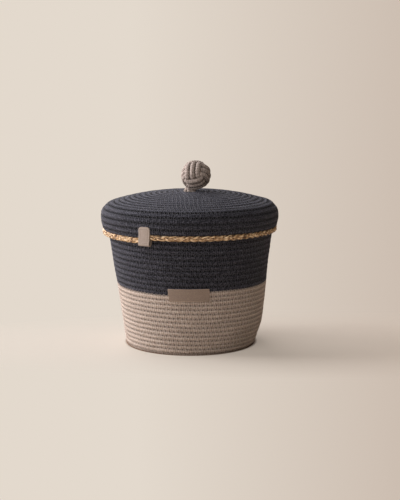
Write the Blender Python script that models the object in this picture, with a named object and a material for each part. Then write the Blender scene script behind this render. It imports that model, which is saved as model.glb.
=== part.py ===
"""Lidded basket of coiled and sewn cotton rope, for balls of yarn.

A flat coiled base turns up into a flaring wall, taupe below and charcoal above.
The lid is a coil of its own: a shallow dome with a skirt that slips over the rim.
A plaited straw band runs under the skirt, a folded tag hides where its ends meet,
and the lid is lifted by a knot of three crossing windings.

Metres, +Z up. The origin is on the floor under the middle of the base, and the
front, with the label, looks along -Y.
"""

import math

import bmesh
import bpy
import numpy as np
from mathutils import Matrix, Vector

# Counts and angles. All round pieces share the same corners, so that what nests stays clear.
STEPS = 24
FRONT = math.radians(-90.0)
CORNER_ANGLE = math.tau / STEPS
SHARP_ANGLE = math.radians(40.0)

# Gap between pieces that touch
SEAT_GAP = 0.0003

# Basket: the rope's middle runs from the foot to the rim
FOOT_RADIUS = 0.0844
RIM_RADIUS = 0.1080
RIM_HEIGHT = 0.1849
COLOUR_HEIGHT = 0.0848
WALL_CORD = 0.0060
WALL_SEAM_DEPTH = 0.0012
TAUPE_TURNS = 14.25
CHARCOAL_TURNS = 14.5
WALL_SHARES = (
    (0.0, 0.0), (0.127, 0.065), (0.292, 0.156), (0.441, 0.292), (0.597, 0.450),
    (0.750, 0.607), (0.898, 0.746), (0.970, 0.815), (1.0, 0.900), (1.0, 1.0),
)
TAPER_SHARE = 0.25
BASE_TURNS = 13
BASE_START_RADIUS = 0.0030

# Label on the colour change, to the left of the front by a little
LABEL_WIDTH = 0.0532
LABEL_HEIGHT = 0.0166
LABEL_THICKNESS = 0.0015
LABEL_CORNER = 0.0015
LABEL_DROP = 0.0010
LABEL_ANGLE = math.radians(-1.3)
LABEL_LEVEL_SHARES = (0.0, 0.5, 1.0)

# Lid: the rope's middle runs from the eye over the dome and down the skirt
LID_CORD = 0.0054
LID_SEAM_DEPTH = 0.0012
LID_TURNS = 19
EYE_RADIUS = 0.0084
SHOULDER_WIDTH = 0.0068
DOME_DROP = 0.0155
DOME_POWER = 2.6
DOME_RADIUS_SHARES = (0.0, 0.25, 0.45, 0.62, 0.76, 0.88, 1.0)
SKIRT_SWELL = 0.0018
CORNER_HEIGHT = 0.0106
CORNER_SHARES = ((0.515, 0.34), (0.88, 0.68), (1.0, 1.0))
SKIRT_HEIGHT = 0.0207
SKIRT_SHARES = ((0.0, 0.38), (0.45, 0.57), (0.85, 0.80), (1.0, 1.0))
EDGE_DROP = 0.0051
LIFT_GAP = 0.0005
SEAT_TRIALS = 1500

# Straw band under the skirt
BAND_HEIGHT = 0.0082
BAND_THICKNESS = 0.0050
BAND_CHAMFER = 0.0013

# Folded tag over the band's ends
TAG_ANGLE = math.radians(-30.0)
TAG_WIDTH = 0.0162
TAG_HEIGHT = 0.0265
TAG_THICKNESS = 0.0008
TAG_CORNER = 0.0038
TAG_FOLD_DROP = 0.0015
TAG_INNER_SHORTER = 0.0030
TAG_COLUMN_SHARES = (-1.0, -0.90, -0.70, -0.50, 0.0, 0.50, 0.70, 0.90, 1.0)
TAG_LEVEL_SHARES = (0.0, 0.25, 0.48, 0.70, 1.0)
TAG_FOLD_STEPS = 4
LEAF_TRIALS = 100
SKIRT_SEARCH_SHARE = 0.2

# Knot: three windings of three strands, each at right angles to the other two
KNOT_CORD = 0.0049
KNOT_STRAND_GAP = 0.0008
KNOT_TURNS = 3
KNOT_TILT = math.radians(40.0)
KNOT_YAW = math.radians(-25.0)
KNOT_SHIFT = 0.0085
KNOT_RISE = 0.0215
KNOT_ARC_STEPS = 4
KNOT_RUN_STEPS = 2
SELF_GAP_APART_SHARE = 2.5
TRANSITION_STEPS = 5
TRANSITION_PULL = 0.0160
TAIL_SPREAD = 0.0054
TAIL_STEPS = 5
TAIL_EYE_PULL = 0.0040
TAIL_KNOT_PULL = 0.0140
TAIL_TURN = math.radians(165.0)

# Knot in the cord's ends, under the eye
STOPPER_RADIUS = 0.0105
STOPPER_HEIGHT = 0.0080
STOPPER_SHARES = (
    (0.0, 0.0), (0.62, 0.03), (0.93, 0.25), (1.0, 0.5), (0.93, 0.75), (0.62, 0.97), (0.0, 1.0),
)


def make_material(name, rgb, roughness):
    """A plain Principled material in the piece's own colour."""
    material = bpy.data.materials.new(name)
    material.use_nodes = True
    shader = material.node_tree.nodes["Principled BSDF"]
    shader.inputs["Base Color"].default_value = (*rgb, 1.0)
    shader.inputs["Roughness"].default_value = roughness
    shader.inputs["Metallic"].default_value = 0.0
    material.diffuse_color = (*rgb, 1.0)
    return material


def add_piece(name, bm, material, parent):
    """Turn a closed bmesh into a named object under its parent empty."""
    bmesh.ops.recalc_face_normals(bm, faces=bm.faces)
    mesh = bpy.data.meshes.new(name)
    bm.to_mesh(mesh)
    bm.free()
    mesh.materials.append(material)
    mesh.shade_smooth()
    mesh.set_sharp_from_angle(angle=SHARP_ANGLE)
    piece = bpy.data.objects.new(name, mesh)
    bpy.context.scene.collection.objects.link(piece)
    piece.parent = parent
    return piece


def add_empty(name, height):
    """An empty on the basket's axis, which carries the pieces of one body."""
    empty = bpy.data.objects.new(name, None)
    empty.location = (0.0, 0.0, height)
    bpy.context.scene.collection.objects.link(empty)
    return empty


def facet_scale(angle):
    """How far a face of the shared polygon lies inside its corners at this angle."""
    off_corner = angle % CORNER_ANGLE
    return math.cos(CORNER_ANGLE / 2) / math.cos(off_corner - CORNER_ANGLE / 2)


def on_round(radius, height, angle):
    """A point of a round piece; angle 0 is the front and grows towards the right."""
    reach = radius * facet_scale(angle)
    turned = FRONT + angle
    return Vector((reach * math.cos(turned), reach * math.sin(turned), height))


class Profile:
    """A smooth curve of radius and height, read by its length, with its outer normal."""

    def __init__(self, points, side, samples=24):
        points = np.array(points, dtype=float)
        chords = np.linalg.norm(np.diff(points, axis=0), axis=1)
        places = np.concatenate(([0.0], np.cumsum(chords)))
        slopes = np.gradient(points, places, axis=0)
        dense = []
        for index, chord in enumerate(chords):
            for step in range(samples):
                u = step / samples
                dense.append(
                    (2 * u**3 - 3 * u**2 + 1) * points[index]
                    + (u**3 - 2 * u**2 + u) * chord * slopes[index]
                    + (3 * u**2 - 2 * u**3) * points[index + 1]
                    + (u**3 - u**2) * chord * slopes[index + 1]
                )
        dense.append(points[-1])
        self.points = np.array(dense)
        self.lengths = np.concatenate(([0.0], np.cumsum(np.linalg.norm(np.diff(dense, axis=0), axis=1))))
        self.length = float(self.lengths[-1])
        self.side = side

    def at(self, length, offset=0.0):
        """The point at this length, moved out along the normal by offset."""
        index = int(np.clip(np.searchsorted(self.lengths, length, side="right") - 1, 0, len(self.points) - 2))
        span = self.points[index + 1] - self.points[index]
        share = (length - self.lengths[index]) / (self.lengths[index + 1] - self.lengths[index])
        tangent = span / np.linalg.norm(span)
        normal = self.side * np.array((tangent[1], -tangent[0]))
        radius, height = self.points[index] + share * span + offset * normal
        return float(radius), float(height)

    def length_at_height(self, height):
        """The length at which a rising curve reaches this height."""
        return float(np.interp(height, self.points[:, 1], self.lengths))


def tapered_seams(turns, pitch):
    """Places of the seams, one for each step: level for the first turn, then rising."""
    steps = range(round(turns * STEPS) + 1)
    return [0.0 if step < STEPS else pitch * (TAPER_SHARE + step / STEPS - 1) for step in steps]


def coil_solid(profile, seams, cord, depth, pitch, start_angle, turn_way, end_shift=0.0, filled_centre=False):
    """A wall of rope rows sewn side by side, as one closed solid.

    The rows wind as one helix. Outside, each row stands out between its two seams;
    inside, the wall is smooth. seams holds one place for each step and one turn more.
    """
    last = len(seams) - 1 - STEPS
    bm = bmesh.new()
    half = cord / 2

    def angle_of(index):
        angle = start_angle + turn_way * CORNER_ANGLE * index
        return angle - turn_way * end_shift if index == last else angle

    outer = [bm.verts.new(on_round(*profile.at(s, half - depth), angle_of(i))) for i, s in enumerate(seams)]
    inner = [bm.verts.new(on_round(*profile.at(s, -half), angle_of(i))) for i, s in enumerate(seams)]
    crest = []
    for index in range(last + 1):
        middle = (seams[index] + seams[index + STEPS]) / 2
        fullness = min(1.0, (seams[index + STEPS] - seams[index]) / pitch)
        place = profile.at(middle, half - depth + depth * fullness)
        crest.append(bm.verts.new(on_round(*place, angle_of(index))))
    for index in range(last):
        above = index + STEPS
        bm.faces.new((outer[index], outer[index + 1], crest[index + 1], crest[index]))
        bm.faces.new((crest[index], crest[index + 1], outer[above + 1], outer[above]))
        bm.faces.new((inner[index], inner[above], inner[above + 1], inner[index + 1]))
    for index in range(last, last + STEPS):
        bm.faces.new((outer[index], outer[index + 1], inner[index + 1], inner[index]))
    bm.faces.new((outer[last], crest[last], outer[last + STEPS], inner[last + STEPS], inner[last]))
    if filled_centre:
        top = bm.verts.new((0.0, 0.0, outer[0].co.z))
        bottom = bm.verts.new((0.0, 0.0, inner[0].co.z))
        for index in range(STEPS):
            bm.faces.new((top, outer[index + 1], outer[index]))
            bm.faces.new((bottom, inner[index], inner[index + 1]))
        bm.faces.new((top, outer[0], crest[0], outer[STEPS]))
        bm.faces.new((bottom, inner[STEPS], inner[0]))
    else:
        for index in range(STEPS):
            bm.faces.new((outer[index + 1], outer[index], inner[index], inner[index + 1]))
        bm.faces.new((inner[0], inner[STEPS], outer[STEPS], crest[0], outer[0]))
    bmesh.ops.triangulate(bm, faces=bm.faces)
    return bm


def loft_rings(rings):
    """A closed solid through rings of the same count of points, with filled ends."""
    bm = bmesh.new()
    loops = [[bm.verts.new(point) for point in ring] for ring in rings]
    count = len(rings[0])
    for near, far in zip(loops, loops[1:]):
        for index in range(count):
            following = (index + 1) % count
            bm.faces.new((near[index], near[following], far[following], far[index]))
    bm.faces.new(list(reversed(loops[0])))
    bm.faces.new(loops[-1])
    bmesh.ops.triangulate(bm, faces=bm.faces)
    return bm


def turned_solid(outline, centre):
    """A solid turned about the vertical from an outline that starts and ends on the axis."""
    bm = bmesh.new()
    rings = []
    for radius, height in outline:
        if radius <= 0.0:
            rings.append([bm.verts.new(centre + Vector((0.0, 0.0, height)))])
            continue
        ring = []
        for step in range(STEPS):
            angle = CORNER_ANGLE * step
            off_centre = Vector((radius * math.cos(angle), radius * math.sin(angle), height))
            ring.append(bm.verts.new(centre + off_centre))
        rings.append(ring)
    for near, far in zip(rings, rings[1:]):
        for step in range(STEPS):
            following = (step + 1) % STEPS
            corners = [near[step % len(near)], near[following % len(near)]]
            corners += [far[following % len(far)], far[step % len(far)]]
            bm.faces.new(list(dict.fromkeys(corners)))
    bmesh.ops.triangulate(bm, faces=bm.faces)
    return bm


# The wall's curve, and the pitch of its rows

WALL = Profile(
    [(FOOT_RADIUS + (RIM_RADIUS - FOOT_RADIUS) * out, RIM_HEIGHT * up) for out, up in WALL_SHARES],
    side=1.0,
)
TAUPE_PITCH = WALL.length_at_height(COLOUR_HEIGHT) / (TAPER_SHARE + TAUPE_TURNS - 0.5)
COLOUR_SEAM = TAUPE_PITCH * (TAPER_SHARE + TAUPE_TURNS - 1)
CHARCOAL_PITCH = (WALL.length - COLOUR_SEAM - TAUPE_PITCH) / (CHARCOAL_TURNS - 1 + TAPER_SHARE)


def build_base(parent, material):
    """The flat coil that the basket stands on, filled up to the wall's first row."""
    rim = WALL.at(0.0, -WALL_CORD / 2)[0] - SEAT_GAP
    middle = WALL_CORD / 2
    flat = Profile([(BASE_START_RADIUS, middle), (rim / 2, middle), (rim, middle)], side=-1.0)
    pitch = flat.length / (BASE_TURNS - 1 + 2 * TAPER_SHARE)
    seams = tapered_seams(BASE_TURNS, pitch)
    seams += [flat.length] * STEPS
    bm = coil_solid(flat, seams, WALL_CORD, WALL_SEAM_DEPTH, pitch, 0.0, -1, filled_centre=True)
    return add_piece("base_rope", bm, material, parent)


def build_lower_wall(parent, material):
    """The taupe rows, from the level first turn to the step under the label."""
    seams = tapered_seams(TAUPE_TURNS + 1, TAUPE_PITCH)
    start = math.tau * TAUPE_TURNS
    shift = SEAT_GAP / RIM_RADIUS
    bm = coil_solid(WALL, seams, WALL_CORD, WALL_SEAM_DEPTH, TAUPE_PITCH, start, -1, end_shift=shift)
    return add_piece("lower_wall_rope", bm, material, parent)


def build_upper_wall(parent, material):
    """The charcoal rows, which go on from the taupe rope's end up to a level rim."""
    seams = [COLOUR_SEAM + SEAT_GAP + TAUPE_PITCH * step / STEPS for step in range(STEPS)]
    for step in range(STEPS, round(CHARCOAL_TURNS * STEPS) + 1):
        seams.append(COLOUR_SEAM + TAUPE_PITCH + CHARCOAL_PITCH * (step / STEPS - 1))
    seams += [WALL.length] * STEPS
    bm = coil_solid(WALL, seams, WALL_CORD, WALL_SEAM_DEPTH, CHARCOAL_PITCH, 0.0, -1)
    return add_piece("upper_wall_rope", bm, material, parent)


def rounded_top(across, half_width, corner):
    """How far a rounded corner takes the edge down at this place across the piece."""
    into = abs(across) - (half_width - corner)
    if into <= 0.0:
        return 0.0
    return corner - math.sqrt(max(corner**2 - into**2, 0.0))


def build_label(parent, material):
    """The leather label, bent round the wall over the colour change."""
    middle = WALL.length_at_height(COLOUR_HEIGHT - LABEL_DROP)
    near = WALL_CORD / 2 + SEAT_GAP
    far = near + LABEL_THICKNESS
    radius = WALL.at(middle, near)[0]
    half = LABEL_WIDTH / 2
    left, right = LABEL_ANGLE - half / radius, LABEL_ANGLE + half / radius
    inset = LABEL_CORNER / 2 / radius
    quarter = half / radius / 2
    corners = [CORNER_ANGLE * k for k in range(-STEPS, STEPS)]
    columns = [angle for angle in corners if left + inset < angle < right - inset]
    columns += [left, left + inset, LABEL_ANGLE - quarter, LABEL_ANGLE + quarter, right - inset, right]
    columns.sort()
    rings = []
    for angle in columns:
        cut = rounded_top((angle - LABEL_ANGLE) * radius, half, LABEL_CORNER)
        low = middle - LABEL_HEIGHT / 2 + cut
        high = middle + LABEL_HEIGHT / 2 - cut
        levels = [low + (high - low) * share for share in LABEL_LEVEL_SHARES]
        ring = [on_round(*WALL.at(level, near), angle) for level in levels]
        ring += [on_round(*WALL.at(level, far), angle) for level in reversed(levels)]
        rings.append(ring)
    return add_piece("front_label", loft_rings(rings), material, parent)


# The lid's curve, in the lid's own heights: zero is the top of the rim it rests on

MOUTH_RADIUS = RIM_RADIUS + WALL_CORD / 2 + LIFT_GAP + TAG_THICKNESS + SEAT_GAP + LID_CORD / 2
SKIRT_RADIUS = MOUTH_RADIUS + SKIRT_SWELL
DOME_RADIUS = SKIRT_RADIUS - SHOULDER_WIDTH


def lid_outline(edge_height):
    """Middle of the rope, from the eye to the mouth, with the dome's edge at this height."""
    points = []
    for share in DOME_RADIUS_SHARES:
        radius = EYE_RADIUS + (DOME_RADIUS - EYE_RADIUS) * share
        points.append((radius, edge_height + DOME_DROP * (1 - (radius / DOME_RADIUS) ** DOME_POWER)))
    for out, down in CORNER_SHARES:
        points.append((DOME_RADIUS + (SKIRT_RADIUS - DOME_RADIUS) * out, edge_height - CORNER_HEIGHT * down))
    for back, down in SKIRT_SHARES:
        radius = SKIRT_RADIUS - (SKIRT_RADIUS - MOUTH_RADIUS) * back
        points.append((radius, edge_height - CORNER_HEIGHT - SKIRT_HEIGHT * down))
    return points


def seated_edge_height():
    """The height at which the lid's inside lies one gap above the rim's outer corner.

    The inside runs straight from seam to seam, so every place of the seams is tried.
    """
    trial = Profile(lid_outline(0.0), side=-1.0)
    pitch = (trial.length - EDGE_DROP) / (TAPER_SHARE + LID_TURNS - 1)
    rim_corner = RIM_RADIUS + WALL_CORD / 2 - WALL_SEAM_DEPTH
    lowest = math.inf
    for place in np.linspace(trial.length / 2, trial.length - pitch, num=SEAT_TRIALS):
        near = trial.at(place, -LID_CORD / 2)
        far = trial.at(place + pitch, -LID_CORD / 2)
        if near[0] <= rim_corner <= far[0]:
            share = (rim_corner - near[0]) / (far[0] - near[0])
            lowest = min(lowest, near[1] + (far[1] - near[1]) * share)
    return SEAT_GAP - lowest


LID = Profile(lid_outline(seated_edge_height()), side=-1.0)
LID_PITCH = (LID.length - EDGE_DROP) / (TAPER_SHARE + LID_TURNS - 1)
LID_TOP = LID.at(0.0, LID_CORD / 2)[1]
LID_UNDERSIDE = LID.at(0.0, -LID_CORD / 2)[1]


def mouth_height(share):
    """Height of the skirt's lower edge, this share of a turn on from the tag."""
    return LID.at(LID.length - EDGE_DROP * (1 - share))[1]


def build_lid(parent, material):
    """The lid's coil: eye, dome and skirt, with its lower edge falling round one turn."""
    seams = tapered_seams(LID_TURNS, LID_PITCH)
    seams += [LID.length - EDGE_DROP * (1 - step / STEPS) for step in range(1, STEPS + 1)]
    bm = coil_solid(LID, seams, LID_CORD, LID_SEAM_DEPTH, LID_PITCH, TAG_ANGLE, 1)
    return add_piece("lid_rope", bm, material, parent)


BAND_INNER = MOUTH_RADIUS - LID_CORD / 2
BAND_OUTER = BAND_INNER + BAND_THICKNESS


def band_section(top):
    """Corners of the band's rounded section, below this height."""
    low = top - BAND_HEIGHT
    cut = BAND_CHAMFER
    return [
        (BAND_INNER, low + cut), (BAND_INNER, top - cut), (BAND_INNER + cut, top), (BAND_OUTER - cut, top),
        (BAND_OUTER, top - cut), (BAND_OUTER, low + cut), (BAND_OUTER - cut, low), (BAND_INNER + cut, low),
    ]


def build_band(parent, material):
    """The straw band: one turn along the skirt's edge, with both ends under the tag."""
    rings = []
    end_gap = SEAT_GAP / BAND_INNER
    for step in range(STEPS + 1):
        angle = TAG_ANGLE + CORNER_ANGLE * step
        if step == 0:
            angle += end_gap
        if step == STEPS:
            angle -= end_gap
        section = band_section(mouth_height(step / STEPS) - SEAT_GAP)
        rings.append([on_round(radius, height, angle) for radius, height in section])
    return add_piece("straw_band", loft_rings(rings), material, parent)


def build_tag(parent, material):
    """The tag: one strip folded under the band, an outer leaf and an inner one."""
    band_low = mouth_height(1.0) - SEAT_GAP - BAND_HEIGHT
    bottom = band_low - SEAT_GAP - TAG_THICKNESS
    top = bottom + TAG_HEIGHT
    fold_middle = bottom + TAG_THICKNESS + TAG_FOLD_DROP
    inner_face = BAND_INNER - SEAT_GAP
    outer_face = BAND_OUTER + SEAT_GAP
    fold_centre = (inner_face + outer_face) / 2
    half = TAG_WIDTH / 2

    places = np.linspace(LID.length, LID.length * (1 - SKIRT_SEARCH_SHARE), LEAF_TRIALS)
    skirt = [LID.at(place, LID_CORD / 2 + SEAT_GAP) for place in places]
    skirt_radii, skirt_heights = zip(*skirt)

    def outer_leaf(height):
        """Radius of the outer leaf's inner face: over the skirt, and down over the band."""
        if height <= skirt_heights[0]:
            return outer_face
        return max(outer_face, float(np.interp(height, skirt_heights, skirt_radii)))

    def strip(cut, extra):
        """The fold's line in radius and height, moved off its inner face by extra."""
        line = []
        for share in reversed(TAG_LEVEL_SHARES):
            height = fold_middle + (top - cut - fold_middle) * share
            line.append((outer_leaf(height) + extra, height))
        for step in range(1, TAG_FOLD_STEPS):
            angle = math.pi * step / TAG_FOLD_STEPS
            reach = (outer_face - inner_face) / 2 + extra
            drop = (TAG_FOLD_DROP + extra) * math.sin(angle)
            line.append((fold_centre + reach * math.cos(angle), fold_middle - drop))
        for height in (fold_middle, top - cut - TAG_INNER_SHORTER):
            line.append((inner_face - extra, height))
        return line

    rings = []
    for share in TAG_COLUMN_SHARES:
        across = half * share
        cut = rounded_top(across, half, TAG_CORNER)
        near, far = strip(cut, 0.0), strip(cut, TAG_THICKNESS)
        angle = TAG_ANGLE + across / outer_face
        rings.append([on_round(r, h, angle) for r, h in near + list(reversed(far))])
    return add_piece("lid_tag", loft_rings(rings), material, parent)


# The knot's own measures, from the cord and the gap between strands

STRAND_STEP = KNOT_CORD + KNOT_STRAND_GAP
INNER_REACH = 2 * STRAND_STEP
OUTER_REACH = 3 * STRAND_STEP
KNOT_CENTRE = Vector((KNOT_SHIFT, 0.0, LID_TOP + KNOT_RISE))


def half_round(centre, start_degrees):
    """A quarter circle of one strand step, as offsets along and across a winding."""
    points = []
    for step in range(KNOT_ARC_STEPS):
        angle = math.radians(start_degrees + 90.0 * step / KNOT_ARC_STEPS)
        points.append((centre[0] + STRAND_STEP * math.cos(angle), centre[1] + STRAND_STEP * math.sin(angle)))
    return points


def straight(start, end):
    """Points from start up to, but not including, end."""
    points = []
    for step in range(KNOT_RUN_STEPS):
        share = step / KNOT_RUN_STEPS
        points.append((start[0] + (end[0] - start[0]) * share, start[1] + (end[1] - start[1]) * share))
    return points


def stepping_part():
    """The near end of a winding, where the strand steps over by one."""
    arc = half_round((INNER_REACH, -STRAND_STEP), -90.0)
    run = straight((OUTER_REACH, -STRAND_STEP), (OUTER_REACH, STRAND_STEP))
    return arc, run


def level_part():
    """The rest of a winding, at one level."""
    points = half_round((INNER_REACH, STRAND_STEP), 0.0)
    points += straight((INNER_REACH, INNER_REACH), (-INNER_REACH, INNER_REACH))
    points += half_round((-INNER_REACH, STRAND_STEP), 90.0)
    points += straight((-OUTER_REACH, STRAND_STEP), (-OUTER_REACH, -STRAND_STEP))
    points += half_round((-INNER_REACH, -STRAND_STEP), 180.0)
    points += straight((-INNER_REACH, -INNER_REACH), (INNER_REACH, -INNER_REACH))
    return points


def winding(long_way, travel, advance):
    """Three turns of one winding, with the strand that enters it and the one that leaves."""
    arc, run = stepping_part()
    whole = arc + run
    arc_length = STRAND_STEP * math.pi / 2
    run_length = 2 * STRAND_STEP
    travelled = [arc_length * step / len(arc) for step in range(len(arc))]
    travelled += [arc_length + run_length * step / len(run) for step in range(len(run))]
    stepped = [length / (arc_length + run_length) for length in travelled]
    points = []
    for turn in range(KNOT_TURNS + 1):
        level = turn - (KNOT_TURNS + 1) / 2
        for index, (along, across) in enumerate(whole):
            if turn == 0 and index < len(arc):
                continue
            offset = STRAND_STEP * (level + stepped[index])
            points.append(long_way * along + travel * across + advance * offset)
        if turn < KNOT_TURNS:
            offset = STRAND_STEP * (level + 1)
            for along, across in level_part():
                points.append(long_way * along + travel * across + advance * offset)
        else:
            offset = STRAND_STEP * (level + 1)
            points.append(long_way * OUTER_REACH + travel * STRAND_STEP + advance * offset)
    return points


def bridge(start, start_pull, end, end_pull, steps):
    """Points between two ends on one smooth curve, without the ends."""
    points = []
    for step in range(1, steps + 1):
        u = step / (steps + 1)
        points.append(
            start * (2 * u**3 - 3 * u**2 + 1) + start_pull * (u**3 - 2 * u**2 + u)
            + end * (3 * u**2 - 2 * u**3) + end_pull * (u**3 - u**2)
        )
    return points


def knot_path():
    """The whole cord: up through the eye, three windings, and down again."""
    x, y, z = Vector((1, 0, 0)), Vector((0, 1, 0)), Vector((0, 0, 1))
    groups = [winding(x, y, z), winding(y, -z, -x), winding(-z, x, -y)]
    points = list(groups[0])
    for group in groups[1:]:
        leaving = (points[-1] - points[-2]).normalized() * TRANSITION_PULL
        entering = (group[1] - group[0]).normalized() * TRANSITION_PULL
        points += bridge(points[-1], leaving, group[0], entering, TRANSITION_STEPS) + group
    points = points[:-KNOT_RUN_STEPS]
    tilted = Matrix.Rotation(-KNOT_TILT, 4, "X") @ Matrix.Rotation(math.pi, 4, "Z")
    placed = Matrix.Translation(KNOT_CENTRE) @ Matrix.Rotation(KNOT_YAW, 4, "Z") @ tilted
    points = [placed @ point for point in points]
    eye = Vector((0.0, 0.0, LID_TOP))
    spread = Vector((math.cos(TAIL_TURN), math.sin(TAIL_TURN), 0.0)) * TAIL_SPREAD
    to_end = Vector((0.0, 0.0, LID_UNDERSIDE - LID_TOP))
    up = Vector((0.0, 0.0, TAIL_EYE_PULL))
    rising = (points[1] - points[0]).normalized() * TAIL_KNOT_PULL
    falling = (points[-1] - points[-2]).normalized() * TAIL_KNOT_PULL
    head = [eye + spread + to_end, eye + spread]
    head += bridge(eye + spread, up, points[0], rising, TAIL_STEPS)
    tail = bridge(points[-1], falling, eye - spread, -up, TAIL_STEPS)
    tail += [eye - spread, eye - spread + to_end]
    return head + points + tail


def least_gap(points, cord):
    """Least clear distance of a tube to itself, measured on its points and between them."""
    dense = []
    for near, far in zip(points, points[1:]):
        dense += [near.lerp(far, share / 4) for share in range(4)]
    places = np.array([tuple(point) for point in dense])
    lengths = np.concatenate(([0.0], np.cumsum(np.linalg.norm(np.diff(places, axis=0), axis=1))))
    least = math.inf
    for index, place in enumerate(places):
        apart = np.abs(lengths - lengths[index]) > SELF_GAP_APART_SHARE * cord
        if apart.any():
            least = min(least, float(np.linalg.norm(places[apart] - place, axis=1).min()))
    return least - cord


def build_knot(parent, material):
    """The knot's cord as one tube on one line of points."""
    path = knot_path()
    print("knot cord: points", len(path), "least gap mm", round(least_gap(path, KNOT_CORD) * 1000, 3))
    curve = bpy.data.curves.new("knob_cord", "CURVE")
    curve.dimensions = "3D"
    curve.bevel_depth = KNOT_CORD / 2
    curve.bevel_resolution = 1
    curve.use_fill_caps = True
    spline = curve.splines.new("POLY")
    spline.points.add(len(path) - 1)
    for point, place in zip(spline.points, path):
        point.co = (*place, 1.0)
    curve.materials.append(material)
    piece = bpy.data.objects.new("knob_cord", curve)
    bpy.context.scene.collection.objects.link(piece)
    piece.parent = parent
    return piece


def build_core(parent, material):
    """The ball that the knot is wound round."""
    radius = INNER_REACH - KNOT_CORD / 2 - SEAT_GAP
    bm = bmesh.new()
    bmesh.ops.create_uvsphere(bm, u_segments=STEPS // 2, v_segments=STEPS // 3, radius=radius)
    bmesh.ops.translate(bm, verts=bm.verts, vec=KNOT_CENTRE)
    bmesh.ops.triangulate(bm, faces=bm.faces)
    return add_piece("knob_core", bm, material, parent)


def build_stopper(parent, material):
    """The knot under the eye that keeps the cord's ends from pulling through."""
    outline = [(STOPPER_RADIUS * out, -STOPPER_HEIGHT * down) for out, down in STOPPER_SHARES]
    centre = Vector((0.0, 0.0, LID_UNDERSIDE - SEAT_GAP))
    return add_piece("stopper_knot", turned_solid(outline, centre), material, parent)


def main():
    for item in list(bpy.data.objects):
        bpy.data.objects.remove(item, do_unlink=True)
    taupe = make_material("taupe_cotton_rope", (0.29, 0.245, 0.205), 0.9)
    charcoal = make_material("charcoal_cotton_rope", (0.035, 0.037, 0.045), 0.9)
    leather = make_material("brown_grey_leather", (0.19, 0.145, 0.115), 0.6)
    straw = make_material("plaited_straw", (0.45, 0.30, 0.14), 0.8)
    tag_leather = make_material("pale_taupe_leather", (0.38, 0.30, 0.23), 0.7)
    knot = make_material("grey_taupe_cord", (0.36, 0.31, 0.27), 0.9)
    wood = make_material("turned_wood", (0.55, 0.40, 0.25), 0.7)

    basket = add_empty("basket_frame", 0.0)
    build_base(basket, taupe)
    build_lower_wall(basket, taupe)
    build_upper_wall(basket, charcoal)
    build_label(basket, leather)

    lid = add_empty("lid_frame", RIM_HEIGHT)
    build_lid(lid, charcoal)
    build_band(lid, straw)
    build_tag(lid, tag_leather)
    build_knot(lid, knot)
    build_core(lid, wood)
    build_stopper(lid, knot)

    print("pitch mm: taupe", round(TAUPE_PITCH * 1000, 2), "charcoal", round(CHARCOAL_PITCH * 1000, 2),
          "lid", round(LID_PITCH * 1000, 2))
    mouth = [round((RIM_HEIGHT + mouth_height(share)) * 1000, 2) for share in (0.0, 1.0)]
    print("lid top mm", round((RIM_HEIGHT + LID_TOP) * 1000, 2), "mouth mm", mouth)


main()
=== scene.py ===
# %% [markdown]
# # A lidded knitting basket of sewn cotton rope
#
# The basket is one long rope wound round and round, each row sewn to the one below with a
# zigzag stitch. The lid is a second coil, edged with a straw plait and lifted by a knot.
# Every rope here is a real tube along its real route, because rows, seams and stitches are
# what such a basket looks like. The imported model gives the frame: sizes, bodies and joint.

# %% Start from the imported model
import math

import bmesh
import bpy
import numpy as np
from mathutils import Matrix, Vector


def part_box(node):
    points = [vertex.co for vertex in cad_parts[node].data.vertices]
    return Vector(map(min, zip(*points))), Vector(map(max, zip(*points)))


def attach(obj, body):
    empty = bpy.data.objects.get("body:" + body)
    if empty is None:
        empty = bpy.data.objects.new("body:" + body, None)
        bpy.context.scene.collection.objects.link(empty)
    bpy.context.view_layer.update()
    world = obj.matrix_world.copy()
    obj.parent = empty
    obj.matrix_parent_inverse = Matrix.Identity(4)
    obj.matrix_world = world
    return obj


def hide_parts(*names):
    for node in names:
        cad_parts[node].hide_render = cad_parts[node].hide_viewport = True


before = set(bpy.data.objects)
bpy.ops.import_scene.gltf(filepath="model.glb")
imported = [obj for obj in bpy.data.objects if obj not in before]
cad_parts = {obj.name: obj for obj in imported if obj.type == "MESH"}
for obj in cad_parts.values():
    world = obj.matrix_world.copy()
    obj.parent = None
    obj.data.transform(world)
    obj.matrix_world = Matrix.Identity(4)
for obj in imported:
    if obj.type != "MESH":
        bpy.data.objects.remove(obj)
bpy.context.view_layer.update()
bpy.ops.object.select_all(action="DESELECT")
print("nodes:", sorted(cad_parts))

# %% [markdown]
# ## The camera
#
# The rows of rope are circles, and their ellipses in the photograph say where the camera
# stood: 1.9 m away and 0.45 m up, with a long lens. The basket's axis lies a few pixels
# left of the middle, so the camera is turned a little to the right, with no lens shift.

# %% Camera
PHOTO_WIDTH = 400
PHOTO_HEIGHT = 500
AXIS_PIXEL = 190.4
FOCAL_PIXELS = 1420.0
SENSOR_MM = 36.0
CAMERA_DISTANCE = 1.903
CAMERA_HEIGHT = 0.446
CAMERA_DOWN = math.radians(9.55)

turned_right = math.atan((PHOTO_WIDTH / 2 - AXIS_PIXEL) / FOCAL_PIXELS)
bpy.ops.object.camera_add(
    location=(0.0, -CAMERA_DISTANCE, CAMERA_HEIGHT),
    rotation=(math.radians(90.0) - CAMERA_DOWN, 0.0, -turned_right),
)
camera = bpy.context.object
camera.data.sensor_width = SENSOR_MM
camera.data.lens = FOCAL_PIXELS / PHOTO_HEIGHT * SENSOR_MM
bpy.context.scene.camera = camera
print("lens mm:", round(camera.data.lens, 1))

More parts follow.
